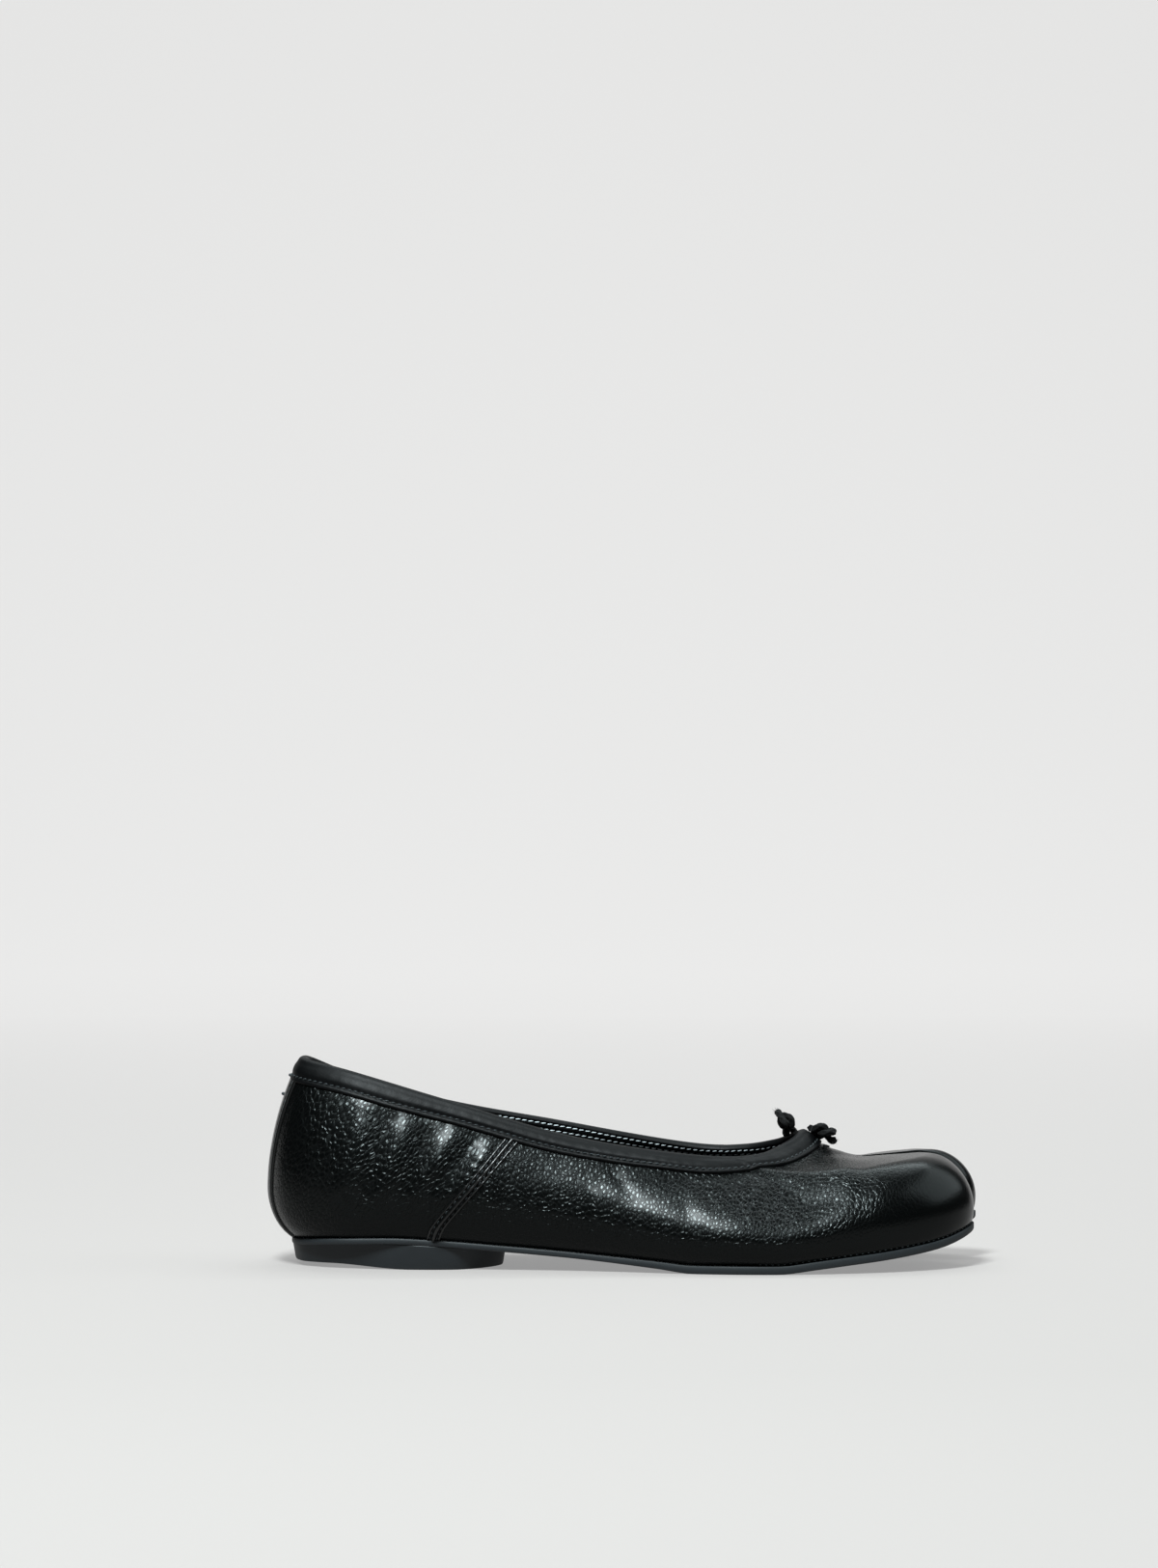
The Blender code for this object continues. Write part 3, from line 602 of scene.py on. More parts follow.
@dataclass(frozen=True)
class GrainedLeather:
    """Black calf with a printed and boarded pebble grain under a thin clear finish.

    The pebbles break the highlight into small sparks, and the finish gives a soft second gloss.
    """

    name: str = "grained_calf"
    colour: str = "#020303"
    worn: str = "#060707"
    tint: str = "#f6ffff"
    pebble_mm: float = 1.25
    wrinkle_mm: float = 2.6
    pore_mm: float = 0.45
    patch_mm: float = 22.0
    sway_pitch_mm: float = 8.0
    sway_mm: float = 1.6
    depth_mm: float = 0.24
    roughness: float = 0.24
    rubbed: float = 0.22
    coat: float = 0.08
    coat_roughness: float = 0.20
    shine: float = 0.15

    def material(self) -> bpy.types.Material:
        """Builds the node tree."""
        material, tree, shader = new_material(self.name)
        spot = add_node(tree, "ShaderNodeTexCoord").outputs["Object"]
        grain = add_node(tree, "ShaderNodeAttribute", {"attribute_name": "grain"}).outputs["Fac"]
        quarter = add_node(tree, "ShaderNodeAttribute", {"attribute_name": "quarter"})
        waves = add_node(tree, "ShaderNodeTexNoise",
                         {"Scale": 1 / (self.sway_pitch_mm * MM), "Detail": 1.0}, Vector=spot)
        drift = add_node(tree, "ShaderNodeVectorMath",
                         {"operation": "MULTIPLY_ADD", 1: (self.sway_mm * MM,) * 3},
                         in_0=waves.outputs["Color"], in_2=spot)
        # The boarded grain stands almost upright on the flank, and leans forward behind the seam.
        upright = self.pebbles(tree, drift, 8.0, 0.66)
        leaning = self.pebbles(tree, drift, 33.0, 0.52)
        pebble = add_node(tree, "ShaderNodeMix", Factor=quarter.outputs["Fac"],
                          in_2=upright.outputs[0], in_3=leaning.outputs[0])
        wrinkle = add_node(tree, "ShaderNodeTexNoise",
                           {"Scale": 1 / (self.wrinkle_mm * MM), "Detail": 1.0, "Roughness": 0.5},
                           Vector=self.leant(tree, drift, 30.0, 3.2).outputs[0])
        height = add_node(tree, "ShaderNodeMath", {"operation": "MULTIPLY_ADD", 1: 0.4},
                          in_0=wrinkle.outputs["Fac"], in_2=pebble.outputs[0])
        faded = add_node(tree, "ShaderNodeMath", {"operation": "MULTIPLY"},
                         in_0=height.outputs[0], in_1=grain)
        pores = add_node(tree, "ShaderNodeTexNoise",
                         {"Scale": 1 / (self.pore_mm * MM), "Detail": 2.0}, Vector=spot)
        surface = add_node(tree, "ShaderNodeMath", {"operation": "MULTIPLY_ADD", 1: 0.06},
                           in_0=pores.outputs["Fac"], in_2=faded.outputs[0])
        bump = add_node(tree, "ShaderNodeBump", {"Strength": 1.0, "Distance": self.depth_mm * MM},
                        Height=surface.outputs[0])
        patches = add_node(tree, "ShaderNodeTexNoise",
                           {"Scale": 1 / (self.patch_mm * MM), "Detail": 3.0}, Vector=spot)
        tone = add_node(tree, "ShaderNodeMix",
                        {"data_type": "RGBA", 6: linear(self.colour), 7: linear(self.worn)},
                        in_0=patches.outputs["Fac"])
        # The valleys between the pebbles keep a duller finish than their rubbed tops.
        depth = add_node(tree, "ShaderNodeMath", {"operation": "SUBTRACT", 0: 1.0},
                         in_1=pebble.outputs[0])
        valleys = add_node(tree, "ShaderNodeMath", {"operation": "MULTIPLY"},
                           in_0=depth.outputs[0], in_1=grain)
        gloss = add_node(tree, "ShaderNodeMapRange",
                         {"To Min": self.roughness, "To Max": self.roughness + self.rubbed},
                         Value=valleys.outputs[0])
        fill_in(tree, shader,
                {"Coat Weight": self.coat, "Coat Roughness": self.coat_roughness,
                 "Specular IOR Level": self.shine, "Specular Tint": linear(self.tint)},
                Base_Color=tone.outputs[2], Roughness=gloss.outputs[0], Normal=bump.outputs[0])
        return material

    @staticmethod
    def leant(tree: bpy.types.NodeTree, drift: bpy.types.Node, lean: float,
              stretch: float) -> bpy.types.Node:
        """Place on the leather for a pattern of long cells.

        Args:
            tree: the node tree.
            drift: node that gives the wandering place.
            lean: angle of the cells from upright, in degrees.
            stretch: length of the cells over their width along the shoe.

        Returns:
            The node that gives the place.
        """
        return add_node(tree, "ShaderNodeMapping",
                        {"vector_type": "TEXTURE", "Rotation": (0, math.radians(lean), 0),
                         "Scale": (1.0, 1.25, stretch)}, Vector=drift.outputs[0])

    def pebbles(self, tree: bpy.types.NodeTree, drift: bpy.types.Node, lean: float,
                squeeze: float) -> bpy.types.Node:
        """Rounded grain cells.

        Args:
            tree: the node tree.
            drift: node that gives the wandering place.
            lean: angle of the cells from upright, in degrees.
            squeeze: width of the cells over their length.

        Returns:
            The node that gives their height, from 0 in the valleys to 1.
        """
        way = self.leant(tree, drift, lean, 1 / squeeze).outputs[0]
        scale = 1 / (self.pebble_mm * MM)
        cells = add_node(tree, "ShaderNodeTexVoronoi", {"feature": "F1", "Scale": scale},
                         Vector=way)
        square = add_node(tree, "ShaderNodeMath", {"operation": "MULTIPLY"},
                          in_0=cells.outputs["Distance"], in_1=cells.outputs["Distance"])
        edges = add_node(tree, "ShaderNodeTexVoronoi",
                         {"feature": "DISTANCE_TO_EDGE", "Scale": scale}, Vector=way)
        valley = add_node(tree, "ShaderNodeMapRange",
                          {"interpolation_type": "SMOOTHSTEP", "From Max": 0.20, "To Min": 0.45,
                           "To Max": 1.0}, Value=edges.outputs["Distance"])
        return add_node(tree, "ShaderNodeMath", {"operation": "MULTIPLY_ADD", 1: -0.55},
                        in_0=square.outputs[0], in_2=valley.outputs[0])


@dataclass(frozen=True)
class SmoothLeather:
    """Thin dyed leather with a fine flat grain, as on binding, strips and lining: even satin."""

    name: str
    colour: str
    roughness: float
    coat: float = 0.0
    grain_mm: float = 0.7
    depth_mm: float = 0.05
    shine: float = 0.2
    fold_mm: float = 2.4
    coat_roughness: float = 0.35

    def material(self) -> bpy.types.Material:
        """Builds the node tree."""
        material, tree, shader = new_material(self.name)
        spot = add_node(tree, "ShaderNodeTexCoord").outputs["Object"]
        cells = add_node(tree, "ShaderNodeTexVoronoi",
                         {"feature": "SMOOTH_F1", "Scale": 1 / (self.grain_mm * MM)}, Vector=spot)
        folds = add_node(tree, "ShaderNodeTexNoise",
                         {"Scale": 1 / (self.fold_mm * MM), "Detail": 4.0}, Vector=spot)
        height = add_node(tree, "ShaderNodeMath", {"operation": "MULTIPLY_ADD", 1: 1.6},
                          in_0=folds.outputs["Fac"], in_2=cells.outputs["Distance"])
        bump = add_node(tree, "ShaderNodeBump", {"Strength": 0.7, "Distance": self.depth_mm * MM},
                        Height=height.outputs[0])
        rough = add_node(tree, "ShaderNodeMapRange",
                         {"To Min": self.roughness - 0.06, "To Max": self.roughness + 0.08},
                         Value=folds.outputs["Fac"])
        fill_in(tree, shader,
                {"Base Color": linear(self.colour), "Specular IOR Level": self.shine,
                 "Coat Weight": self.coat, "Coat Roughness": self.coat_roughness},
                Roughness=rough.outputs[0], Normal=bump.outputs[0])
        return material


@dataclass(frozen=True)
class SoleRubber:
    """Moulded rubber, buffed on its edge: matte, blue-grey black, with a dusty bloom."""

    name: str
    colour: str = "#12171a"
    bloom: str = "#1b2125"
    roughness: float = 0.58
    bloom_mm: float = 9.0
    speck_mm: float = 0.5
    depth_mm: float = 0.05

    def material(self) -> bpy.types.Material:
        """Builds the node tree."""
        material, tree, shader = new_material(self.name)
        spot = add_node(tree, "ShaderNodeTexCoord").outputs["Object"]
        dust = add_node(tree, "ShaderNodeTexNoise",
                        {"Scale": 1 / (self.bloom_mm * MM), "Detail": 5.0}, Vector=spot)
        tone = add_node(tree, "ShaderNodeMix",
                        {"data_type": "RGBA", 6: linear(self.colour), 7: linear(self.bloom)},
                        in_0=dust.outputs["Fac"])
        speck = add_node(tree, "ShaderNodeTexNoise",
                         {"Scale": 1 / (self.speck_mm * MM), "Detail": 2.0}, Vector=spot)
        bump = add_node(tree, "ShaderNodeBump", {"Strength": 0.5, "Distance": self.depth_mm * MM},
                        Height=speck.outputs["Fac"])
        fill_in(tree, shader, {"Roughness": self.roughness},
                Base_Color=tone.outputs[2], Normal=bump.outputs[0])
        return material


@dataclass(frozen=True)
class SpunYarn:
    """Dyed polyester yarn, spun or braided: dull, with a faint sheen on the fibres."""

    name: str
    colour: str
    roughness: float = 0.7
    fibre_mm: float = 0.25
    depth_mm: float = 0.08
    sheen: float = 0.05
    shine: float = 0.2

    def material(self) -> bpy.types.Material:
        """Builds the node tree."""
        material, tree, shader = new_material(self.name)
        spot = add_node(tree, "ShaderNodeTexCoord").outputs["Object"]
        fibre = add_node(tree, "ShaderNodeTexNoise",
                         {"Scale": 1 / (self.fibre_mm * MM), "Detail": 3.0}, Vector=spot)
        bump = add_node(tree, "ShaderNodeBump", {"Strength": 0.6, "Distance": self.depth_mm * MM},
                        Height=fibre.outputs["Fac"])
        fill_in(tree, shader,
                {"Base Color": linear(self.colour), "Roughness": self.roughness,
                 "Sheen Weight": self.sheen, "Specular IOR Level": self.shine},
                Normal=bump.outputs[0])
        return material


# The last, which every sewn piece is read from


def profile(x: np.ndarray) -> tuple[np.ndarray, np.ndarray]:
    """Heights of the sole's underside and top at x, measured from the back of the heel.

    Args:
        x: distance along the shoe.

    Returns:
        The underside's height and the top's height.
    """
    along, heel, spring, fore = np.array(PROFILE).T
    at = np.asarray(x, float) / LENGTH
    under = (smooth_curve(along, heel, at) * HEEL_HEIGHT
             + smooth_curve(along, spring, at) * TOE_SPRING)
    return under, under + WAIST_SOLE + (FORE_SOLE - WAIST_SOLE) * smooth_curve(along, fore, at)


def crown(x: np.ndarray, y: np.ndarray) -> np.ndarray:
    """Height of the vamp and toes where nothing draws them down."""
    along, height, camber = np.array(CROWN).T
    lost = smooth_curve(along, camber, x / LENGTH) * (y / (BALL_WIDTH / 2)) ** 2
    return CROWN_HEIGHT * (smooth_curve(along, height, x / LENGTH) - lost)


def inward(outline: np.ndarray) -> np.ndarray:
    """Unit vectors that point into a closed plan outline."""
    along = np.roll(outline, -1, axis=0) - np.roll(outline, 1, axis=0)
    across = unit(np.column_stack([along[:, 1], -along[:, 0]]))
    x, y = outline.T
    turn = np.sum(x * np.roll(y, -1) - y * np.roll(x, -1))
    return across if turn < 0 else -across


@dataclass(frozen=True)
class Crease:
    """One soft trough or ridge on a flank, drawn in the side view in millimetres.

    height is above zero for a ridge and below for a trough, and bow bends its line to one side.
    """

    start: tuple[float, float]
    end: tuple[float, float]
    width: float
    height: float
    bow: float = 0.0

    def rise(self, x: np.ndarray, z: np.ndarray) -> np.ndarray:
        """Height that the crease adds.

        Args:
            x: distances from the back of the heel, in millimetres.
            z: heights above the floor, in millimetres.

        Returns:
            The height in metres.
        """
        start, end = np.array(self.start), np.array(self.end)
        chord = end - start
        span = np.linalg.norm(chord)
        way = chord / span
        along = (x - start[0]) * way[0] + (z - start[1]) * way[1]
        share = np.clip(along / span, 0, 1)
        off = (x - start[0]) * way[1] - (z - start[1]) * way[0] - self.bow * 4 * share * (1 - share)
        beyond = along - share * span
        fade = np.sqrt(np.clip(np.sin(math.pi * np.clip(0.08 + 0.84 * share, 0, 1)), 0, 1))
        hill = np.exp(-(off / self.width) ** 2 - (beyond / self.width) ** 2)
        return CREASE_STRENGTH * self.height * MM * fade * hill


CREASES = {
    Side.OUTER: (
        # Behind the side seam the leather hangs in slanted folds from the binding.
        Crease((26.0, 24.0), (34.0, 55.0), 3.6, 0.28, 1.5),
        Crease((33.0, 22.0), (42.5, 52.0), 3.0, -0.26, 1.0),
        Crease((40.5, 21.0), (51.0, 51.0), 3.4, 0.30, -1.0),
        Crease((48.5, 27.0), (57.0, 47.0), 2.6, -0.30, 0.8),
        Crease((54.0, 26.0), (67.0, 47.0), 3.0, 0.30, -1.2),
        Crease((59.5, 29.0), (73.5, 45.0), 2.4, -0.34, 0.8),
        Crease((65.0, 25.0), (78.5, 41.0), 2.6, 0.36, 0.4),
        # Ahead of it one fold runs down from the binding, and a short one sits under the highlight.
        Crease((121.0, 37.0), (129.0, 26.0), 2.6, -0.10, 0.6),
        Crease((113.0, 26.0), (115.5, 15.0), 1.4, -0.15, 0.8),
        Crease((116.5, 27.0), (118.5, 16.0), 1.6, 0.08, 0.8),
        Crease((146.0, 27.0), (152.0, 15.0), 3.0, -0.07, 1.0),
        Crease((168.0, 26.0), (186.0, 20.0), 4.0, -0.09, 1.5),
        # The toe's side is drawn together in short puckers.
        Crease((211.5, 27.5), (216.5, 20.0), 0.9, -0.03, 0.6),
        Crease((213.5, 27.5), (218.8, 19.5), 0.9, 0.025, 0.6),
        Crease((216.0, 26.5), (220.8, 19.5), 0.8, -0.025, 0.5),
        Crease((206.5, 26.0), (211.5, 18.0), 1.1, -0.03, 0.6),
    ),
    Side.INNER: (
        Crease((30.0, 24.0), (38.0, 52.0), 3.6, 0.26, 1.2),
        Crease((38.0, 24.0), (48.0, 49.0), 3.0, -0.26, -0.8),
        Crease((47.0, 22.0), (59.0, 47.0), 3.2, 0.28, 1.0),
        Crease((57.0, 25.0), (70.0, 43.0), 2.6, -0.40, 0.8),
        Crease((64.0, 22.0), (78.0, 39.0), 2.2, 0.36, 0.4),
        Crease((110.0, 33.0), (118.0, 18.0), 2.6, -0.22, 0.8),
        Crease((150.0, 28.0), (160.0, 16.0), 3.2, -0.20, 1.0),
        Crease((176.0, 27.0), (196.0, 21.0), 4.0, -0.18, 1.5),
    ),
}


@dataclass
class Last:
    """The upper's outer skin as a fine closed grid.

    Its columns go round the shoe, and its rows from the sole to the collar.
    """

    fineness: int = 7
    lower_rows: int = 22
    upper_rows: int = 112
    skin: np.ndarray = field(init=False)
    normals: np.ndarray = field(init=False)
    plain: np.ndarray = field(init=False)
    feather: np.ndarray = field(init=False)
    inward: np.ndarray = field(init=False)
    widest: np.ndarray = field(init=False)

    def __post_init__(self) -> None:
        """Works out the skin and its relief."""
        steps = [row[1] * self.fineness for row in SECTIONS]
        size = dict.fromkeys(SECTION_COLUMNS, 1.0)
        size.update(dict.fromkeys(("along", "knee_along", "collar_along", "ramp"), LENGTH))
        size.update(dict.fromkeys(("across", "knee_across", "collar_across"), BALL_WIDTH))
        size.update(dict.fromkeys(("overhang", "reach", "leave"), BALL_WIDTH))
        size.update(bulge=CROWN_HEIGHT, collar_height=BACK_HEIGHT)
        sizes = [size[name] for name in SECTION_COLUMNS]
        rows = np.array([row[2:] for row in SECTIONS], float) * sizes
        table = closed_curve(rows, steps, rows[:, :2])
        self.columns = dict(zip(SECTION_COLUMNS, table.T))
        starts = np.concatenate([[0], np.cumsum(steps)[:-1]])
        self.starts = dict(zip([row[0] for row in SECTIONS], starts))
        self.widest = table[:, :2]
        self.inward = inward(self.widest)
        self.feather = self.widest + self.inward * self.columns["overhang"][:, None]
        self.plain = np.array([self.meridian(index) for index in range(len(table))])
        self.skin = self.plain.copy()
        self.normals = self.outward()
        self.skin = self.plain + self.normals * self.relief()[:, :, None]
        self.normals = self.outward()

    def meridian(self, index: int) -> np.ndarray:
        """Points of one section's outer skin, from the sole up to the collar.

        Args:
            index: number of the column.

        Returns:
            Its points, from the feather line up.
        """
        column = {name: values[index] for name, values in self.columns.items()}
        start = self.widest[index]
        base = profile(self.feather[index][0])[1] + GAP
        widest_height = base + column["bulge"]
        psi = np.linspace(SEAT_TURN, math.pi / 2, self.lower_rows + 1)
        out = (np.sin(psi) - math.sin(SEAT_TURN)) / (1 - math.sin(SEAT_TURN))
        up = 1 - np.cos(psi) / math.cos(SEAT_TURN)
        lower = np.column_stack([self.feather[index] + (start - self.feather[index]) * out[:, None],
                                 base + (widest_height - base) * up])
        end = np.array([column["collar_along"], column["collar_across"]])
        leave = start + self.inward[index] * column["leave"]
        arrive = np.array([column["knee_along"], column["knee_across"]])
        path = cubic(start, leave, arrive, end, 121)
        travelled = run_of(path)
        length = travelled[-1]
        reach = min(column["reach"], length)
        turn = math.radians(min(column["turn"], 90))
        dome_rows = 1 - DOME_ROWS_LOST * (length - reach) / length
        row = np.linspace(0, 1, self.upper_rows + 1)
        phi = turn * np.minimum(1, row / dome_rows)
        run = np.clip((row - dome_rows) / max(1 - dome_rows, 1e-9), 0, 1)
        upright = min(max(column["upright"], 0), 1)
        climbed = phi / turn
        drawn_in = (1 - np.cos(phi)) / (1 - math.cos(turn)) * (1 - upright)
        drawn_in += climbed ** 2 * (3 - 2 * climbed) * upright
        away = reach * drawn_in + (length - reach) * run
        plan = np.column_stack([np.interp(away, travelled, path[:, axis]) for axis in range(2)])
        ramp = np.clip(1 - (length - away) / column["ramp"], 0, 1) ** 2
        end_crown = crown(column["collar_along"], column["collar_across"])
        over_crown = crown(plan[:, 0], plan[:, 1]) + (column["collar_height"] - end_crown) * ramp
        front = min(max(column["front"], 0), 1)
        top = column["collar_height"] + (over_crown - column["collar_height"]) * front
        height = widest_height + (top - widest_height) * np.sin(phi) / math.sin(turn)
        return np.vstack([lower[:-1], np.column_stack([plan, height])])

    def outward(self) -> np.ndarray:
        """Unit normals of the skin."""
        round_the_shoe = np.roll(self.skin, -1, axis=0) - np.roll(self.skin, 1, axis=0)
        return unit(np.cross(np.gradient(self.skin, axis=1), round_the_shoe))

    def fall(self) -> np.ndarray:
        """Distance down the plain skin from the collar, for every point of the grid."""
        steps = np.linalg.norm(np.diff(self.plain, axis=1), axis=2)[:, ::-1]
        down = np.concatenate([np.zeros((len(steps), 1)), np.cumsum(steps, axis=1)], axis=1)
        return down[:, ::-1]

    def collar_run(self) -> np.ndarray:
        """Distance along the collar's edge from the back of the heel, for every column."""
        return run_of(self.plain[:, -1])

    def relief(self) -> np.ndarray:
        """Listed creases, and puckers beside the seams, as heights over the plain skin."""
        x, y, z = (self.plain[:, :, axis] for axis in range(3))
        height = np.zeros_like(x)
        for side, creases in CREASES.items():
            faces = ease(self.normals[:, :, 1] * side.value, 0.05, 0.4)
            height += sum(crease.rise(x / MM, z / MM) for crease in creases) * faces
            height += self.seam_puckers(side, x, z) * faces
        fall = self.fall()
        width = binding_width(self.plain[:, -1, 0])[:, None]
        near_back = ease(x, 0.42 * LENGTH, 0.28 * LENGTH)
        pull = gathers(self.collar_run()[:, None]) * (0.025 + 0.035 * near_back)
        height += pull * MM * np.exp(-np.maximum(fall - width, 0) / (2.6 * MM)) * (fall > width)
        seat_puckers = np.cos(x * TURN / (5.3 * MM) + 2 * wander(x, 9, 25 * MM))
        above_sole = z - profile(x)[1]
        height += seat_puckers * 0.02 * MM * np.exp(-np.maximum(above_sole, 0) / (2.5 * MM))
        toes = ease(x, 0.80 * LENGTH, 0.90 * LENGTH)
        swell = wander(x + z * 0.6, 21, 34 * MM) * wander(z * 1.3 - x * 0.4 + y, 22, 26 * MM)
        height += swell * 0.12 * MM * (1 - 0.7 * toes)
        return height * ease(fall, 1 * MM, 6 * MM)

    def seam_puckers(self, side: Side, x: np.ndarray, z: np.ndarray) -> np.ndarray:
        """Short folds that the side seam's stitches pull into the leather on both sides of it.

        Args:
            side: the flank.
            x: distances along the shoe.
            z: heights.

        Returns:
            The height that they add.
        """
        share, along = np.array(SEAM_LINE).T
        low = profile(along[0] * LENGTH)[1]
        high = (44.0 if side is Side.INNER else 45.5) * MM
        rise = np.clip((z - low) / (high - low), 0, 1)
        off = (x - smooth_curve(share, along, rise) * LENGTH) * math.sin(math.radians(52))
        beside = np.maximum(np.abs(off) - 2.0 * MM, 0)
        reach = np.where(off < 0, 4.5 * MM, 2.2 * MM)
        sway = 0.7 * wander(z, 31 + side.value, 30 * MM)
        wave = np.cos((z * 0.9 + x * 0.35) * TURN / (3.4 * MM) + sway)
        fade = np.exp(-(beside / reach) ** 2) * ease(z, low + 4 * MM, low + 12 * MM)
        return 0.07 * MM * wave * fade

    def near_flank(self, x: float, side: Side) -> np.ndarray:
        """Numbers of the columns of one flank whose skin comes near x."""
        reach = 8 * MM
        on_side = self.widest[:, 1] * side.value > 0.2 * BALL_WIDTH
        along = self.skin[:, :, 0]
        near = (along.min(axis=1) < x + reach) & (along.max(axis=1) > x - reach)
        return np.nonzero(on_side & near)[0]

    def on_flank(self, x: float, height: float, side: Side) -> tuple[np.ndarray, np.ndarray]:
        """Point and normal of the skin on one flank.

        Args:
            x: distance along the shoe.
            height: height above the floor.
            side: the flank.

        Returns:
            The point and its unit normal.
        """
        found = []
        for index in self.near_flank(x, side):
            line = self.skin[index]
            row = np.interp(height, line[:, 2], np.arange(len(line)))
            low = min(int(row), len(line) - 2)
            share = row - low
            both = np.hstack([line, self.normals[index]])
            found.append(both[low] * (1 - share) + both[low + 1] * share)
        found = np.array(sorted(found, key=lambda each: each[0]))
        near = np.array([np.interp(x, found[:, 0], found[:, axis]) for axis in range(6)])
        return near[:3], unit(near[3:])

    def on_back(self, y: float, row: int) -> tuple[np.ndarray, np.ndarray]:
        """Point and normal on the back of the heel.

        Args:
            y: distance across the shoe.
            row: number of the grid row.

        Returns:
            The point and its unit normal.
        """
        reach = 6 * self.fineness
        order = [index % len(self.skin) for index in range(-reach, reach + 1)]
        values = np.hstack([self.skin[order, row], self.normals[order, row]])
        near = np.array([np.interp(y, values[:, 1], values[:, axis]) for axis in range(6)])
        return near[:3], unit(near[3:])


def binding_width(x: np.ndarray) -> np.ndarray:
    """Width of the binding's outer face where the collar's edge is at x."""
    along, share = np.array(BINDING_FALL).T
    return BINDING_WIDTH * smooth_curve(along, share, np.asarray(x, float) / LENGTH)


@dataclass
class Rim:
    """The skin below the collar's edge, as lines down from it at even steps along the edge."""

    last: Last
    samples: int = 1150
    reach: float = 0.0150
    steps: int = 61

    def __post_init__(self) -> None:
        """Reads the lines from the last."""
        falls = np.linspace(0, self.reach, self.steps)
        lines = []
        for points, normals in zip(self.last.skin[:, ::-1], self.last.normals[:, ::-1]):
            down = run_of(points)
            both = np.hstack([points, normals])
            lines.append(np.column_stack([np.interp(falls, down, values) for values in both.T]))
        lines = np.array(lines + lines[:1])
        run = run_of(lines[:, 0, :3])
        self.length = float(run[-1])
        even = np.linspace(0, self.length, self.samples, endpoint=False)
        flat = lines.reshape(len(lines), -1)
        self.lines = np.column_stack([np.interp(even, run, values) for values in flat.T])
        self.lines = self.lines.reshape(self.samples, self.steps, 6)
        self.width = binding_width(self.lines[:, 0, 0])

    def at(self, run: np.ndarray, fall: np.ndarray) -> tuple[np.ndarray, np.ndarray]:
        """Points and normals at distances along the edge and down from it.

        Args:
            run: distances along the edge from the back of the heel.
            fall: distances down the skin; above the edge they are below zero.

        Returns:
            The points and unit normals.
        """
        run, fall = np.asarray(run, float), np.asarray(fall, float)
        place_along = run / self.length * self.samples
        place_down = np.clip(fall / self.reach * (self.steps - 1), 0, self.steps - 1.001)
        column, row = np.floor(place_along).astype(int), place_down.astype(int)
        beside, below = (place_along - column)[..., None], (place_down - row)[..., None]
        column, after = column % self.samples, (column + 1) % self.samples
        upper = self.lines[column, row] * (1 - beside) + self.lines[after, row] * beside
        lower = self.lines[column, row + 1] * (1 - beside) + self.lines[after, row + 1] * beside
        both = upper * (1 - below) + lower * below
        point, normal = both[..., :3], unit(both[..., 3:])
        edge = self.lines[column]
        up = unit(edge[..., 0, :3] - edge[..., 4, :3])
        return point + up * np.maximum(-fall, 0)[..., None], normal

    def width_at(self, run: np.ndarray) -> np.ndarray:
        """Width of the binding's outer face at distances along the edge."""
        at = np.asarray(run, float) / self.length * self.samples
        return np.interp(at, np.arange(self.samples), self.width, period=self.samples)


# Sewn rows


@dataclass(frozen=True)
class StitchRow:
    """One row of lock stitches: short slanting capsules that sink at both ends."""

    name: str
    pitch: float = 2.5 * MM
    length: float = 2.0 * MM
    radius: float = 0.24 * MM
    slant: float = 0.10

    def build(self, path: np.ndarray, normals: np.ndarray,
              material: bpy.types.Material) -> bpy.types.Object:
        """Builds the row along a path.

        Args:
            path: points along the groove, close together.
            normals: unit normals of the leather there.
            material: the thread.

        Returns:
            The row as one piece.
        """
        run = run_of(path)
        count = max(int(run[-1] / self.pitch), 1)
        rings, sides = 7, 6
        share = np.linspace(-1, 1, rings)
        reach = self.radius * np.sqrt(np.clip(1 - share ** 6, 0.03, 1))
        sink = share ** 4
        turn = round_angles(sides)
        points, faces = [], []
        for number, at in enumerate((np.arange(count) + 0.5) * run[-1] / count):
            places = at + share * self.length / 2
            spine = np.column_stack([np.interp(places, run, values) for values in path.T])
            normal = unit(np.array([np.interp(at, run, values) for values in normals.T]))
            across = np.cross(normal, unit(spine[-1] - spine[0]))
            spine = spine + across * (share * self.slant * self.length)[:, None]
            spine = spine + normal * (self.radius * (0.55 - 1.3 * sink))[:, None]
            points.append(rings_on(spine, reach, across, normal, turn))
            first = number * rings * sides
            faces += ring_faces(first, rings, sides)
            faces.append([first + corner for corner in range(sides)][::-1])
            faces.append([first + (rings - 1) * sides + corner for corner in range(sides)])
        return add_mesh(self.name, np.vstack(points), faces, material, sharp=80)


# Pieces of the shoe


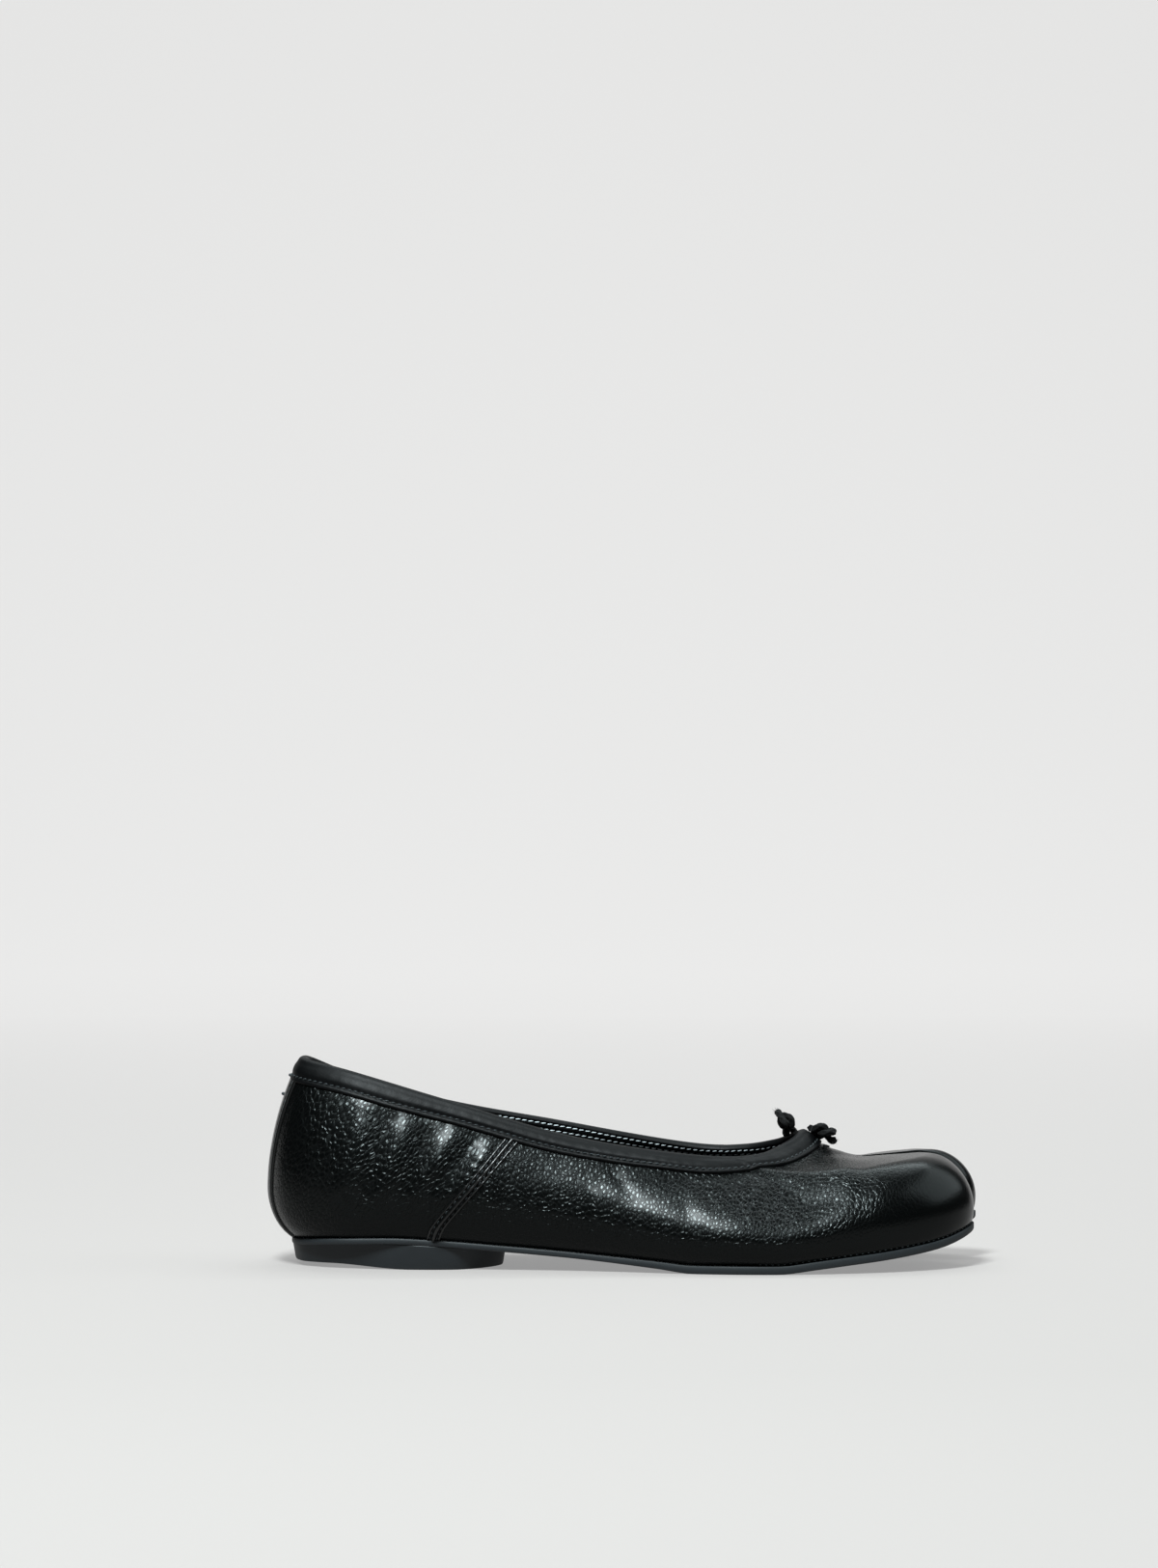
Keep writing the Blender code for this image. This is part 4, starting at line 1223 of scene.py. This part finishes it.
@dataclass
class Upper:
    """The leather upper with its grain, creases and lining."""

    last: Last
    leather: bpy.types.Material
    lining: bpy.types.Material

    def build(self) -> list[bpy.types.Object]:
        """Builds the outer skin and the lining.

        Returns:
            The two pieces.
        """
        skin = self.last.skin
        outer = add_sheet("upper_leather", skin, self.leather, closed=True)
        self.mark_grain(outer)
        inner = (skin - self.last.normals * UPPER_WALL)[::2, ::3]
        sheet = add_sheet("upper_lining", inner, self.lining, closed=True)
        log.info("upper: %d x %d grid", *skin.shape[:2])
        return (fitted([outer], "upper")
                + fitted([sheet], "upper"))

    def mark_grain(self, piece: bpy.types.Object) -> None:
        """Stores how strong the grain is, and where the quarter is.

        Args:
            piece: the outer skin.
        """
        x, _, z = self.last.skin.reshape(-1, 3).T
        fading = ease(x, 0.95 * LENGTH, 0.66 * LENGTH)
        low = ease(z - profile(x)[1], 1 * MM, 9 * MM)
        near_back = ease(x, 4 * MM, 22 * MM)
        grain = (0.06 + 0.94 * fading) * (0.35 + 0.65 * low) * (0.35 + 0.65 * near_back)
        share, along = np.array(SEAM_LINE).T
        foot, head = 11 * MM, 45 * MM
        rise = np.clip((z - foot) / (head - foot), 0, 1)
        behind = ease(x - smooth_curve(share, along, rise) * LENGTH, 1 * MM, -1 * MM)
        for name, values in (("grain", grain), ("quarter", behind)):
            layer = piece.data.attributes.new(name, "FLOAT", "POINT")
            layer.data.foreach_set("value", values.astype(np.float32))


@dataclass
class CollarBinding:
    """The leather strip folded over the collar: puffed outside, flat inside, and stitched."""

    rim: Rim
    leather: bpy.types.Material
    thread: bpy.types.Material
    inner_thread: bpy.types.Material
    lip: float = 0.95 * MM
    groove: float = 1.75 * MM
    puff: float = 1.35 * MM
    inner_width: float = 8.0 * MM
    pitch: float = 2.3 * MM

    def section(self, width: float) -> np.ndarray:
        """Points across the strip, from its outer lower edge over the top to its inner one.

        Args:
            width: width of the outer face.

        Returns:
            Rows of distance down from the edge and height over the skin.
        """
        inside = -UPPER_WALL / MM
        lip, puff, inner = self.lip / MM, self.puff / MM, self.inner_width / MM
        wide = width / MM
        knots = np.array([
            (wide + 0.1, -0.05), (wide + 0.12, 0.45), (wide - 0.2, lip),
            (wide - 0.75, lip + 0.08), (wide - 1.3, lip - 0.05),
            (wide - self.groove / MM, lip - 0.16), (wide - 2.2, lip),
            (wide * 0.52, puff), (wide * 0.28, puff), (wide * 0.10, puff - 0.22),
            (-0.9, 0.85), (-1.85, -0.05), (-2.05, -0.8),
            (-1.7, inside - 0.3), (-1.0, inside - 0.8), (-0.35, inside - 0.5),
            (0.35, inside - 0.95), (1.1, inside - 0.9), (1.75, inside - 0.5),
            (2.4, inside - 0.95), (4.2, inside - 0.95), (6.2, inside - 0.8),
            (inner, inside - 0.5), (inner + 0.1, inside + 0.1),
        ])
        return smooth_path(knots * MM, 64)

    def build(self) -> list[bpy.types.Object]:
        """Builds the strip and its rows of stitches.

        Returns:
            The pieces.
        """
        run = np.linspace(0, self.rim.length, self.rim.samples, endpoint=False)
        rings = []
        for at, width, pull, swell in zip(run, self.rim.width_at(run), gathers(run),
                                          wander(run, 12, 19 * MM)):
            section = self.section(width)
            fall, proud = section.T
            outside = proud > 0
            outer_face = ease(fall, 0.5 * MM, 2.5 * MM) * outside
            holes = np.exp(-((fall - width + self.groove) / (0.4 * MM)) ** 2) * outside
            proud = proud * (1 + outer_face * (0.015 * pull + 0.05 * swell))
            proud = proud - holes * 0.10 * MM * math.cos(at * TURN / self.pitch)
            points, normals = self.rim.at(np.full(len(section), at), fall)
            rings.append(points + normals * proud[:, None])
        pieces = [add_sheet("binding_strip", np.array(rings), self.leather, closed=True)]
        closed = np.append(run, self.rim.length)
        even = np.ones(len(closed))
        under = -UPPER_WALL - 0.55 * MM
        rows = (
            # name, distances down from the edge, height over the skin, way it faces, stitch, thread
            ("binding_stitches", self.rim.width_at(closed) - self.groove, self.lip - 0.13 * MM,
             1, 1.6 * MM, self.thread),
            ("binding_stitches_top", -0.35 * MM * even, under, -1, 2.15 * MM, self.inner_thread),
            ("binding_stitches_inside", 1.75 * MM * even, under, -1, 2.15 * MM,
             self.inner_thread),
        )
        for name, falls, proud, way, stitch, thread in rows:
            points, normals = self.rim.at(closed, falls)
            row = StitchRow(name, pitch=self.pitch, length=stitch, radius=0.27 * MM)
            pieces.append(row.build(points + normals * proud, normals * way, thread))
        log.info("collar binding: %.0f mm round, %d rows of stitches",
                 self.rim.length / MM, len(rows))
        return fitted(pieces, "collar_binding")


@dataclass
class SeamStrip:
    """The raised strip over a slanted side seam, with a ridge between two rows of stitches."""

    last: Last
    rim: Rim
    side: Side
    leather: bpy.types.Material
    thread: bpy.types.Material
    slant: float = math.radians(52)
    half_width: float = 1.95 * MM
    groove: float = 0.95 * MM
    pitch: float = 2.3 * MM

    def edge_height(self, x: float) -> float:
        """Height of the binding's lower edge on this flank at x."""
        run = np.linspace(0, self.rim.length, self.rim.samples, endpoint=False)
        points, _ = self.rim.at(run, self.rim.width_at(run))
        chosen = points[points[:, 1] * self.side.value > 0.1 * BALL_WIDTH]
        chosen = chosen[np.argsort(chosen[:, 0])]
        return float(np.interp(x, chosen[:, 0], chosen[:, 2]))

    def line(self, offset: float, proud: float, count: int = 150) -> tuple[np.ndarray, np.ndarray]:
        """One line up the strip.

        Args:
            offset: distance from the strip's middle, forward above zero.
            proud: height over the skin.
            count: number of points.

        Returns:
            The points and the normals.
        """
        share, along = np.array(SEAM_LINE).T
        shift = offset / math.sin(self.slant)
        foot, head = along[0] * LENGTH + shift, along[-1] * LENGTH + shift
        low, high = profile(foot)[1] + GAP, self.edge_height(head) + 0.4 * MM
        points, normals = [], []
        for at in np.linspace(0, 1, count):
            x = float(smooth_curve(share, along, at)) * LENGTH + shift
            point, normal = self.last.on_flank(x, low + (high - low) * at, self.side)
            points.append(point + normal * proud)
            normals.append(normal)
        return np.array(points), np.array(normals)

    def pinched(self, offset: float, proud: float) -> np.ndarray:
        """One line of the strip, drawn down at every stitch hole.

        Args:
            offset: distance from the strip's middle, forward above zero.
            proud: height over the skin.

        Returns:
            The points.
        """
        points, normals = self.line(offset, proud)
        run = run_of(points)
        near = math.exp(-((abs(offset) - self.groove) / (0.42 * MM)) ** 2)
        count = max(int(run[-1] / self.pitch), 1)
        wave = np.cos(run / run[-1] * count * TURN)
        return points - normals * (0.17 * MM * near * wave)[:, None]

    def build(self) -> list[bpy.types.Object]:
        """Builds the strip and its two rows of stitches.

        Returns:
            The pieces.
        """
        node = "seam_strip_lateral" if self.side is Side.OUTER else "seam_strip_medial"
        knots = np.array([(-1.0, -0.05), (-0.98, 0.35), (-0.84, 0.62), (-0.68, 0.50), (-0.50, 0.04),
                          (-0.34, 0.44), (-0.18, 1.05), (0.0, 1.25), (0.18, 1.05), (0.34, 0.44),
                          (0.50, 0.04), (0.68, 0.50), (0.84, 0.62), (0.98, 0.35), (1.0, -0.05)])
        section = smooth_path(knots * [self.half_width, MM], 31)
        grid = np.array([self.pinched(offset, proud) for offset, proud in section])
        pieces = [add_sheet(node + "_leather", grid, self.leather)]
        for way, name in ((-1, "_stitches_rear"), (1, "_stitches_front")):
            points, normals = self.line(way * self.groove, 0.16 * MM)
            row = StitchRow(node + name, pitch=self.pitch, length=1.55 * MM, radius=0.26 * MM)
            pieces.append(row.build(points, normals, self.thread))
        log.info("%s: strip and two rows", node)
        return fitted(pieces, node)


@dataclass
class Backstay:
    """The strip over the back seam, with a row along each edge and two bar tacks on its middle."""

    last: Last
    leather: bpy.types.Material
    thread: bpy.types.Material
    width: float = 18.5 * MM
    tack_heights: tuple[float, float] = (65.6 * MM, 59.0 * MM)

    def rows(self) -> np.ndarray:
        """Grid rows from the sole up to the binding."""
        line = self.last.skin[0]
        down = np.cumsum(np.linalg.norm(np.diff(line[::-1], axis=0), axis=1))[::-1]
        last_row = int(np.nonzero(down > float(binding_width(line[-1][0])) - 0.6 * MM)[0].max())
        return np.arange(1, last_row + 1)

    def build(self) -> list[bpy.types.Object]:
        """Builds the strip, its stitches and the bar tacks.

        Returns:
            The pieces.
        """
        half = [(-0.500, -0.05), (-0.498, 0.40), (-0.485, 0.72), (-0.455, 0.82), (-0.415, 0.72),
                (-0.39, 0.48), (-0.365, 0.72), (-0.31, 0.85), (-0.15, 0.92)]
        knots = np.array(half + [(0.0, 0.95)] + [(-across, proud) for across, proud in half[::-1]])
        section = smooth_path(knots * [self.width, MM], 57)
        rows = self.rows()
        cells = np.array([self.across_back([y] * len(rows), rows, proud)[0]
                          for y, proud in section])
        pieces = [add_sheet("backstay_strip", cells, self.leather)]
        for way, name in ((-1, "outer"), (1, "inner")):
            path = self.across_back([way * 0.39 * self.width] * len(rows), rows, 0.5 * MM)
            row = StitchRow("backstay_stitches_" + name, pitch=2.3 * MM, length=1.75 * MM,
                            radius=0.22 * MM)
            pieces.append(row.build(*path, self.thread))
        heights = self.last.skin[0, :, 2]
        across = np.linspace(-2.2, 2.2, 13) * MM
        for number, height in enumerate(self.tack_heights):
            row = int(np.argmin(np.abs(heights - height)))
            path = self.across_back(across, [row] * len(across), 1.15 * MM)
            tack = StitchRow("bar_tack_%d" % (number + 1), pitch=4.4 * MM, length=4.2 * MM,
                             radius=0.55 * MM, slant=0.0)
            pieces.append(tack.build(*path, self.thread))
        log.info("backstay: %d grid rows", len(rows))
        return fitted(pieces, "backstay")

    def across_back(self, across: list, rows: list, proud: float) -> tuple[np.ndarray, np.ndarray]:
        """Points a little proud of the back of the heel.

        Args:
            across: distance across the shoe of each point.
            rows: grid row of each point.
            proud: height over the skin.

        Returns:
            The points and the normals.
        """
        places = [self.last.on_back(y, row) for y, row in zip(across, rows)]
        return (np.array([point + normal * proud for point, normal in places]),
                np.array([normal for _, normal in places]))


@dataclass
class CleftBead:
    """The narrow piped seam along the upper edges of the cleft."""

    last: Last
    leather: bpy.types.Material
    radius: float = 0.42 * MM
    climb: float = 0.80

    def build(self) -> list[bpy.types.Object]:
        """Builds the bead from one toe round the cleft to the other.

        Returns:
            The bead as one piece.
        """
        first, final = self.last.starts["big_toe_round"], self.last.starts["small_toe_round"]
        points = []
        for index in range(first, final + 1, 2):
            line, normals = self.last.skin[index], self.last.normals[index]
            heights = line[self.last.lower_rows:, 2]
            edge = heights[0] + (heights.max() - heights[0]) * self.climb
            row = self.last.lower_rows + int(np.argmax(heights > edge))
            points.append(line[row] + normals[row] * 0.12 * MM)
        path = smooth_path(np.array(points), 260)
        share = np.linspace(0, 1, len(path))
        radius = self.radius * np.clip(np.minimum(share, 1 - share) * 14, 0.15, 1)
        log.info("cleft bead: %d points", len(path))
        bead = tube("cleft_bead", path, radius, self.leather)
        return fitted([bead], "upper")


def slab(name: str, outline: np.ndarray, rings: tuple, low: Callable[[float], float],
         high: Callable[[float], float], material: bpy.types.Material, slices: int,
         sharp: float = 36.0) -> bpy.types.Object:
    """A flat-cut piece bent to the last.

    Args:
        name: the piece's name.
        outline: closed plan outline.
        rings: rows of inset and share of the height, from the bottom up.
        low: function that gives the underside's height at x.
        high: function that gives the top's height at x.
        material: the finish.
        slices: number of cuts across it that let it bend.
        sharp: angle in degrees above which an edge stays sharp.

    Returns:
        The piece.
    """
    into = inward(outline)
    work = bmesh.new()
    loops = [[work.verts.new((x, y, share)) for x, y in outline + into * inset]
             for inset, share in rings]
    count = len(outline)
    for lower, upper in zip(loops, loops[1:]):
        for index in range(count):
            beside = (index + 1) % count
            work.faces.new((lower[index], lower[beside], upper[beside], upper[index]))
    work.faces.new(loops[0])
    work.faces.new(loops[-1])
    start, end = outline[:, 0].min(), outline[:, 0].max()
    for x in np.linspace(start, end, slices + 1)[1:-1]:
        geometry = work.verts[:] + work.edges[:] + work.faces[:]
        bmesh.ops.bisect_plane(work, geom=geometry, dist=1e-7, plane_co=(x, 0, 0),
                               plane_no=(1, 0, 0))
    for vertex in work.verts:
        bottom, top = float(low(vertex.co.x)), float(high(vertex.co.x))
        vertex.co.z = bottom + (top - bottom) * vertex.co.z
    bmesh.ops.triangulate(work, faces=[face for face in work.faces if len(face.verts) > 4])
    work.verts.index_update()
    points = [tuple(vertex.co) for vertex in work.verts]
    faces = [[vertex.index for vertex in face.verts] for face in work.faces]
    work.free()
    return add_mesh(name, np.array(points), faces, material, sharp)


@dataclass
class Bottom:
    """Outsole, heel block and insole."""

    last: Last
    sole: bpy.types.Material
    heel: bpy.types.Material
    insole: bpy.types.Material
    thread: bpy.types.Material
    edge: float = 0.9 * MM
    rounding: float = 0.6 * MM
    insole_thickness: float = 2.2 * MM
    heel_taper: float = 0.9 * MM
    heel_lift: float = 1.6 * MM
    flat_along: float = 0.205
    lift_along: float = 0.095

    def tread(self, x: float) -> float:
        """Height of the heel's running face: flat at the front and lifted at the back."""
        return self.heel_lift * float(ease(x / LENGTH, self.flat_along, self.lift_along))

    def build(self) -> list[bpy.types.Object]:
        """Builds the three slabs.

        Returns:
            The pieces.
        """
        round_off = self.rounding
        outline = (self.last.feather - self.last.inward * self.edge)[::2]
        share = round_off / FORE_SOLE
        rings = ((round_off, 0.0), (round_off * 0.3, share * 0.3), (0.0, share),
                 (0.0, 1 - share * 0.8), (round_off * 0.25, 1 - share * 0.2),
                 (round_off * 0.9, 1.0))
        sole = slab("outsole_rubber", outline, rings, lambda x: profile(x)[0],
                    lambda x: profile(x)[1], self.sole, 56)
        fitted([sole], "outsole")

        along, outer, inner = np.array(HEEL_OUTLINE).T
        half = np.column_stack([along, inner])[:-1]
        other = np.column_stack([along, -outer])[1:][::-1]
        rows = np.vstack([half, other]) * [LENGTH, BALL_WIDTH]
        outline = closed_curve(rows, [12] * len(rows), rows)
        rings = ((self.heel_taper + round_off, 0.0), (self.heel_taper + round_off * 0.3, 0.02),
                 (self.heel_taper, 0.08), (0.0, 0.97), (round_off * 0.3, 1.0))
        heel = slab("heel_block", outline, rings, self.tread, lambda x: profile(x)[0] + 0.05 * MM,
                    self.heel, 1, sharp=28.0)
        fitted([heel], "heel")

        outline = (self.last.feather + self.last.inward * (UPPER_WALL + GAP))[::2]
        rings = ((0.0, 0.0), (0.0, 0.7), (round_off * 0.4, 0.93), (round_off * 1.2, 1.0))
        insole = slab("insole_sock", outline, rings, lambda x: profile(x)[1] + GAP,
                      lambda x: profile(x)[1] + GAP + self.insole_thickness, self.insole, 56)
        fitted([insole], "insole")
        log.info("bottom: outsole, heel block and insole")
        return [sole, heel, insole] + self.feather_stitches()

    def feather_stitches(self) -> list[bpy.types.Object]:
        """Builds the fine thread points where the upper meets the forefoot's sole.

        Returns:
            The points as one piece.
        """
        chosen = np.arange(self.last.starts["toe_side_inner"], self.last.starts["joint_outer"])
        row = StitchRow("feather_stitches", pitch=2.1 * MM, length=1.0 * MM, radius=0.16 * MM,
                        slant=0.0)
        piece = row.build(self.last.skin[chosen, 2], self.last.normals[chosen, 2], self.thread)
        return fitted([piece], "upper")


@dataclass
class DrawcordEnd:
    """One end of the braided drawcord: an overhand knot and a frayed tail."""

    end: CordEnd
    leave: tuple[float, float, float]
    middle: tuple[float, float, float]
    tip: tuple[float, float, float]
    angles: tuple[float, float, float]
    yarn: bpy.types.Material
    diameter: float = 2.4 * MM
    ring: float = 0.98
    strand: float = 0.54
    knot_points: int = 26
    fibres: int = 46

    def turned(self) -> np.ndarray:
        """Rotation by roll about Z, then lean about Y, then swing about Z."""
        turn = np.eye(3)
        for angle, axis in zip(self.angles, (2, 1, 2)):
            cosine, sine = math.cos(math.radians(angle)), math.sin(math.radians(angle))
            first, second = (0, 1) if axis == 2 else (2, 0)
            step = np.eye(3)
            step[first, first] = step[second, second] = cosine
            step[first, second], step[second, first] = -sine, sine
            turn = step @ turn
        return turn

    def route(self) -> np.ndarray:
        """The cord's middle line, from the binding through the knot to the tip.

        Returns:
            Points measured from the back of the heel.
        """
        size = np.array([LENGTH, BALL_WIDTH, BACK_HEIGHT])
        leave, middle, tip = (np.array(share) * size
                              for share in (self.leave, self.middle, self.tip))
        angle = np.linspace(math.pi / 6, math.pi * 11 / 6, self.knot_points)
        strand = self.strand * self.diameter
        out = self.ring * self.diameter + strand * np.cos(3 * angle)
        knot = np.column_stack([out * np.cos(2 * angle), out * np.sin(2 * angle),
                                strand * np.sin(3 * angle)])
        knot = knot @ self.turned().T + middle
        into = unit(knot[0] - knot[1]) * self.diameter
        out_of = unit(knot[-1] - knot[-2]) * self.diameter
        lead = cubic(leave, leave * 0.5 + (knot[0] + into) * 0.5, knot[0] + into, knot[0], 6)
        tail = cubic(knot[-1], knot[-1] + out_of, tip * 0.5 + (knot[-1] + out_of) * 0.5, tip, 6)
        return np.vstack([lead[:-1], knot, tail[1:]])

    def build(self) -> list[bpy.types.Object]:
        """Returns:
            The pieces.
        """
        knots = self.route()
        path = smooth_path(knots, 420)
        run = run_of(path)
        sides = 32
        turn = round_angles(sides)[None, :]
        pace = (TURN * run / (2.6 * self.diameter))[:, None]
        # Eight strands, four each way, that pass over and under one another.
        left = np.cos(4 * turn + 4 * pace * 0.5)
        right = np.cos(4 * turn - 4 * pace * 0.5)
        over = np.where(np.cos(2 * turn) * np.cos(2 * pace) > 0, left, right)
        relief = 0.07 * self.diameter * (np.maximum(left, right) * 0.7 + over * 0.3 - 0.6)
        radius = np.full(len(path), self.diameter / 2)
        radius *= 1 + 0.05 * wander(run, 41, 4 * MM)
        braid = tube(self.end.value + "_braid", path, radius, self.yarn, sides, relief)
        fray = self.fray(path[-1], unit(path[-1] - path[-12]))
        fitted([braid, fray], self.end.value)
        log.info("%s: %.1f mm of cord", self.end.value, run[-1] / MM)
        return [braid, fray]

    def fray(self, tip: np.ndarray, way: np.ndarray) -> bpy.types.Object:
        """Loose yarns that spread from the cut end.

        Args:
            tip: the end of the cord.
            way: its direction there.

        Returns:
            All the yarns as one piece.
        """
        draw = np.random.default_rng(len(self.end.value))
        side = unit(np.cross(way, [0.2, 1.0, 0.3]))
        up = np.cross(way, side)
        points, faces = [], []
        share = np.linspace(0, 1, 7)[:, None]
        sides = 4
        turn = round_angles(sides)
        for number in range(self.fibres):
            angle, out = draw.uniform(0, TURN), math.sqrt(draw.uniform(0, 1))
            radial = side * math.cos(angle) + up * math.sin(angle)
            start = tip - way * 0.6 * MM + radial * out * self.diameter * 0.36
            length = draw.uniform(1.0, 2.3) * MM
            curl = unit(draw.normal(size=3)) * draw.uniform(0.1, 0.9) * MM
            spread = draw.uniform(0.1, 1.1) * MM
            spine = start + way * length * share + radial * spread * share ** 2
            spine = spine + curl * share ** 2 - np.array([0, 0, 1]) * 0.3 * MM * share ** 2
            thick = draw.uniform(0.05, 0.10) * MM * (1.1 - share)
            along = unit(spine[-1] - spine[0])
            across = unit(np.cross(along, [0.1, 0.3, 1.0]))
            points.append(rings_on(spine, thick, across, np.cross(along, across), turn))
            faces += ring_faces(number * len(share) * sides, len(share), sides)
        return add_mesh(self.end.value + "_fray", np.vstack(points), faces, self.yarn, ALL_SMOOTH)


# Studio


SOFT_BOXES = (
    # name, where it hangs, what it points at, its two sides, watts
    ("top_box", (0.05, 0.45, 1.5), (0.05, 0.05, 0.0), (1.6, 0.8), 13.0),
    ("key_box", (-0.20, -0.84, 1.33), (0.06, 0.0, 0.03), (0.34, 0.44), 66.0),
    ("side_box", (-0.90, -0.70, 1.35), (0.0, 0.0, 0.04), (0.30, 0.35), 1.5),
    ("toe_box", (1.30, 0.10, 0.95), (0.15, 0.0, 0.03), (1.30, 1.00), 11.0),
    ("wall_box", (0.0, 1.2, 2.2), (0.0, 2.2, 0.6), (3.0, 0.8), 50.0),
)


@dataclass(frozen=True)
class Studio:
    """A pale paper sweep, soft boxes and the camera at the photograph's angle."""

    floor_colour: str = "#6a6664"
    room_colour: str = "#c9cccd"
    room_strength: float = 0.08
    # glow and wall_glow are painted light: the paper gives off light of its own, more towards the
    # wall, besides what the soft boxes throw on it.
    glow: float = 0.31
    wall_glow: float = 0.32
    gamma: float = 0.87
    camera_place: tuple[float, float, float] = (0.044176, -1.6, 0.1689)
    lens: float = 103.9
    sensor: float = 36.0
    paper_start: float = -1.10
    paper_back: float = 1.7
    paper_turn: float = 0.9
    paper_top: float = 4.0
    paper_half_width: float = 2.0

    def build(self) -> None:
        """Adds the camera, the sweep and the lights."""
        self.camera()
        self.sweep()
        for soft_box in SOFT_BOXES:
            self.light(*soft_box)
        world = bpy.data.worlds.new("studio_room")
        world.use_nodes = True
        backdrop = world.node_tree.nodes["Background"]
        backdrop.inputs["Color"].default_value = linear(self.room_colour)
        backdrop.inputs["Strength"].default_value = self.room_strength
        scene = bpy.context.scene
        scene.world = world
        scene.view_settings.view_transform = "Standard"
        scene.view_settings.gamma = self.gamma
        log.info("studio: camera, sweep and %d soft boxes", len(SOFT_BOXES))

    def camera(self) -> None:
        """Adds the level camera that looks along +Y."""
        data = bpy.data.cameras.new("camera")
        data.lens = self.lens
        data.sensor_width = self.sensor
        camera = bpy.data.objects.new("camera", data)
        camera.location = self.camera_place
        camera.rotation_euler = (math.pi / 2, 0, 0)
        bpy.context.scene.collection.objects.link(camera)
        bpy.context.scene.camera = camera

    def paper(self) -> bpy.types.Material:
        """Matte paper that glows a little towards the wall, painted light of its own, so the
        background comes out even.
        """
        material, tree, shader = new_material("matte_paper")
        spot = add_node(tree, "ShaderNodeTexCoord").outputs["Object"]
        tooth = add_node(tree, "ShaderNodeTexNoise", {"Scale": 1 / (1.2 * MM)}, Vector=spot)
        bump = add_node(tree, "ShaderNodeBump", {"Strength": 0.1, "Distance": 0.1 * MM},
                        Height=tooth.outputs["Fac"])
        axes = add_node(tree, "ShaderNodeSeparateXYZ", Vector=spot)
        # Painted light: the paper's own glow, rising towards the wall.
        glow = add_node(tree, "ShaderNodeMapRange",
                        {"From Min": -0.3, "From Max": 1.9, "To Min": self.glow,
                         "To Max": self.glow + self.wall_glow}, Value=axes.outputs["Y"])
        # Ahead of the picture the paper's colour and glow fall off to black, a painted shade that
        # stands for a dark room, so the leather mirrors no edge.
        near = add_node(tree, "ShaderNodeMapRange",
                        {"interpolation_type": "SMOOTHSTEP", "From Min": -1.05,
                         "From Max": -0.64}, Value=axes.outputs["Y"])
        painted_glow = add_node(tree, "ShaderNodeMath", {"operation": "MULTIPLY"},
                       in_0=glow.outputs[0], in_1=near.outputs[0])
        tone = add_node(tree, "ShaderNodeMix",
                        {"data_type": "RGBA", 6: linear("#000000"), 7: linear(self.floor_colour)},
                        in_0=near.outputs[0])
        fill_in(tree, shader,
                {"Emission Color": linear("#ffffff"), "Roughness": 0.9,
                 "Specular IOR Level": 0.2},
                Base_Color=tone.outputs[2], Emission_Strength=painted_glow.outputs[0],
                Normal=bump.outputs[0])
        return material

    def sweep(self) -> None:
        """Adds the floor that curves up into a back wall."""
        back, radius, wide = self.paper_back, self.paper_turn, self.paper_half_width
        curve = [(self.paper_start, 0.0), (-0.3, 0.0), (0.0, 0.0)]
        curve += [(back + radius * math.sin(angle), radius * (1 - math.cos(angle)))
                  for angle in np.linspace(0, math.pi / 2, 24)]
        curve += [(back + radius, self.paper_top)]
        points = [(x + ORIGIN_ALONG * LENGTH, y, z) for y, z in curve for x in (-wide, wide)]
        add_mesh("paper_sweep", np.array(points), grid_faces(len(curve), 2),
                          self.paper(), sharp=60)

    @staticmethod
    def light(name: str, spot: tuple, aim: tuple, size: tuple, power: float) -> None:
        """Adds one soft box.

        Args:
            name: its name.
            spot: where it hangs.
            aim: what it points at.
            size: its two sides.
            power: its power in watts.
        """
        data = bpy.data.lights.new(name, "AREA")
        data.shape = "RECTANGLE"
        data.size, data.size_y = size
        data.energy = power
        data.color = linear("#eff9fb")[:3]
        obj = bpy.data.objects.new(name, data)
        obj.location = spot
        way = np.array(aim) - np.array(spot)
        lean = math.atan2(math.hypot(way[0], way[1]), -way[2])
        obj.rotation_euler = (lean, 0, math.atan2(way[1], way[0]) - math.pi / 2)
        bpy.context.scene.collection.objects.link(obj)


def main() -> None:
    """Builds the studio, the cords and every piece of the shoe, in that order."""
    logging.basicConfig(level=logging.INFO, format="%(name)s: %(message)s")
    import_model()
    Studio().build()
    braid = SpunYarn("braided_polyester", "#030303", 0.8).material()
    thread = SpunYarn("bonded_thread", "#2b3032", 0.4, 0.3).material()
    DrawcordEnd(CordEnd.REAR, leave=(0.7444, 0.016, 0.634), middle=(0.7300, 0.012, 0.677),
                tip=(0.7165, 0.030, 0.742), angles=(-60, 70, 20), yarn=braid).build()
    DrawcordEnd(CordEnd.FRONT, leave=(0.7612, 0.010, 0.663), middle=(0.7805, 0.000, 0.642),
                tip=(0.7940, -0.020, 0.605), angles=(20, 25, 60), yarn=braid).build()
    last = Last()
    rim = Rim(last)
    calf = GrainedLeather().material()
    lining = SmoothLeather("pigskin_lining", "#040404", 0.6).material()
    binding = SmoothLeather("dyed_binding_leather", "#040506", 0.48, grain_mm=0.6,
                            depth_mm=0.04, shine=0.13).material()
    strip = SmoothLeather("skived_strip_leather", "#050606", 0.30, coat=0.20, grain_mm=0.9,
                          shine=0.45).material()
    Upper(last, calf, lining).build()
    inner_thread = SpunYarn("grey_bonded_thread", "#b0b7ba", 0.3, 0.3).material()
    CollarBinding(rim, binding, thread, inner_thread).build()
    for side in Side:
        SeamStrip(last, rim, side, strip, thread).build()
    Backstay(last, strip, thread).build()
    CleftBead(last, strip).build()
    Bottom(last, SoleRubber("moulded_sole_rubber").material(),
           SoleRubber("moulded_heel_rubber").material(), lining, thread).build()


if __name__ == "__main__":
    main()
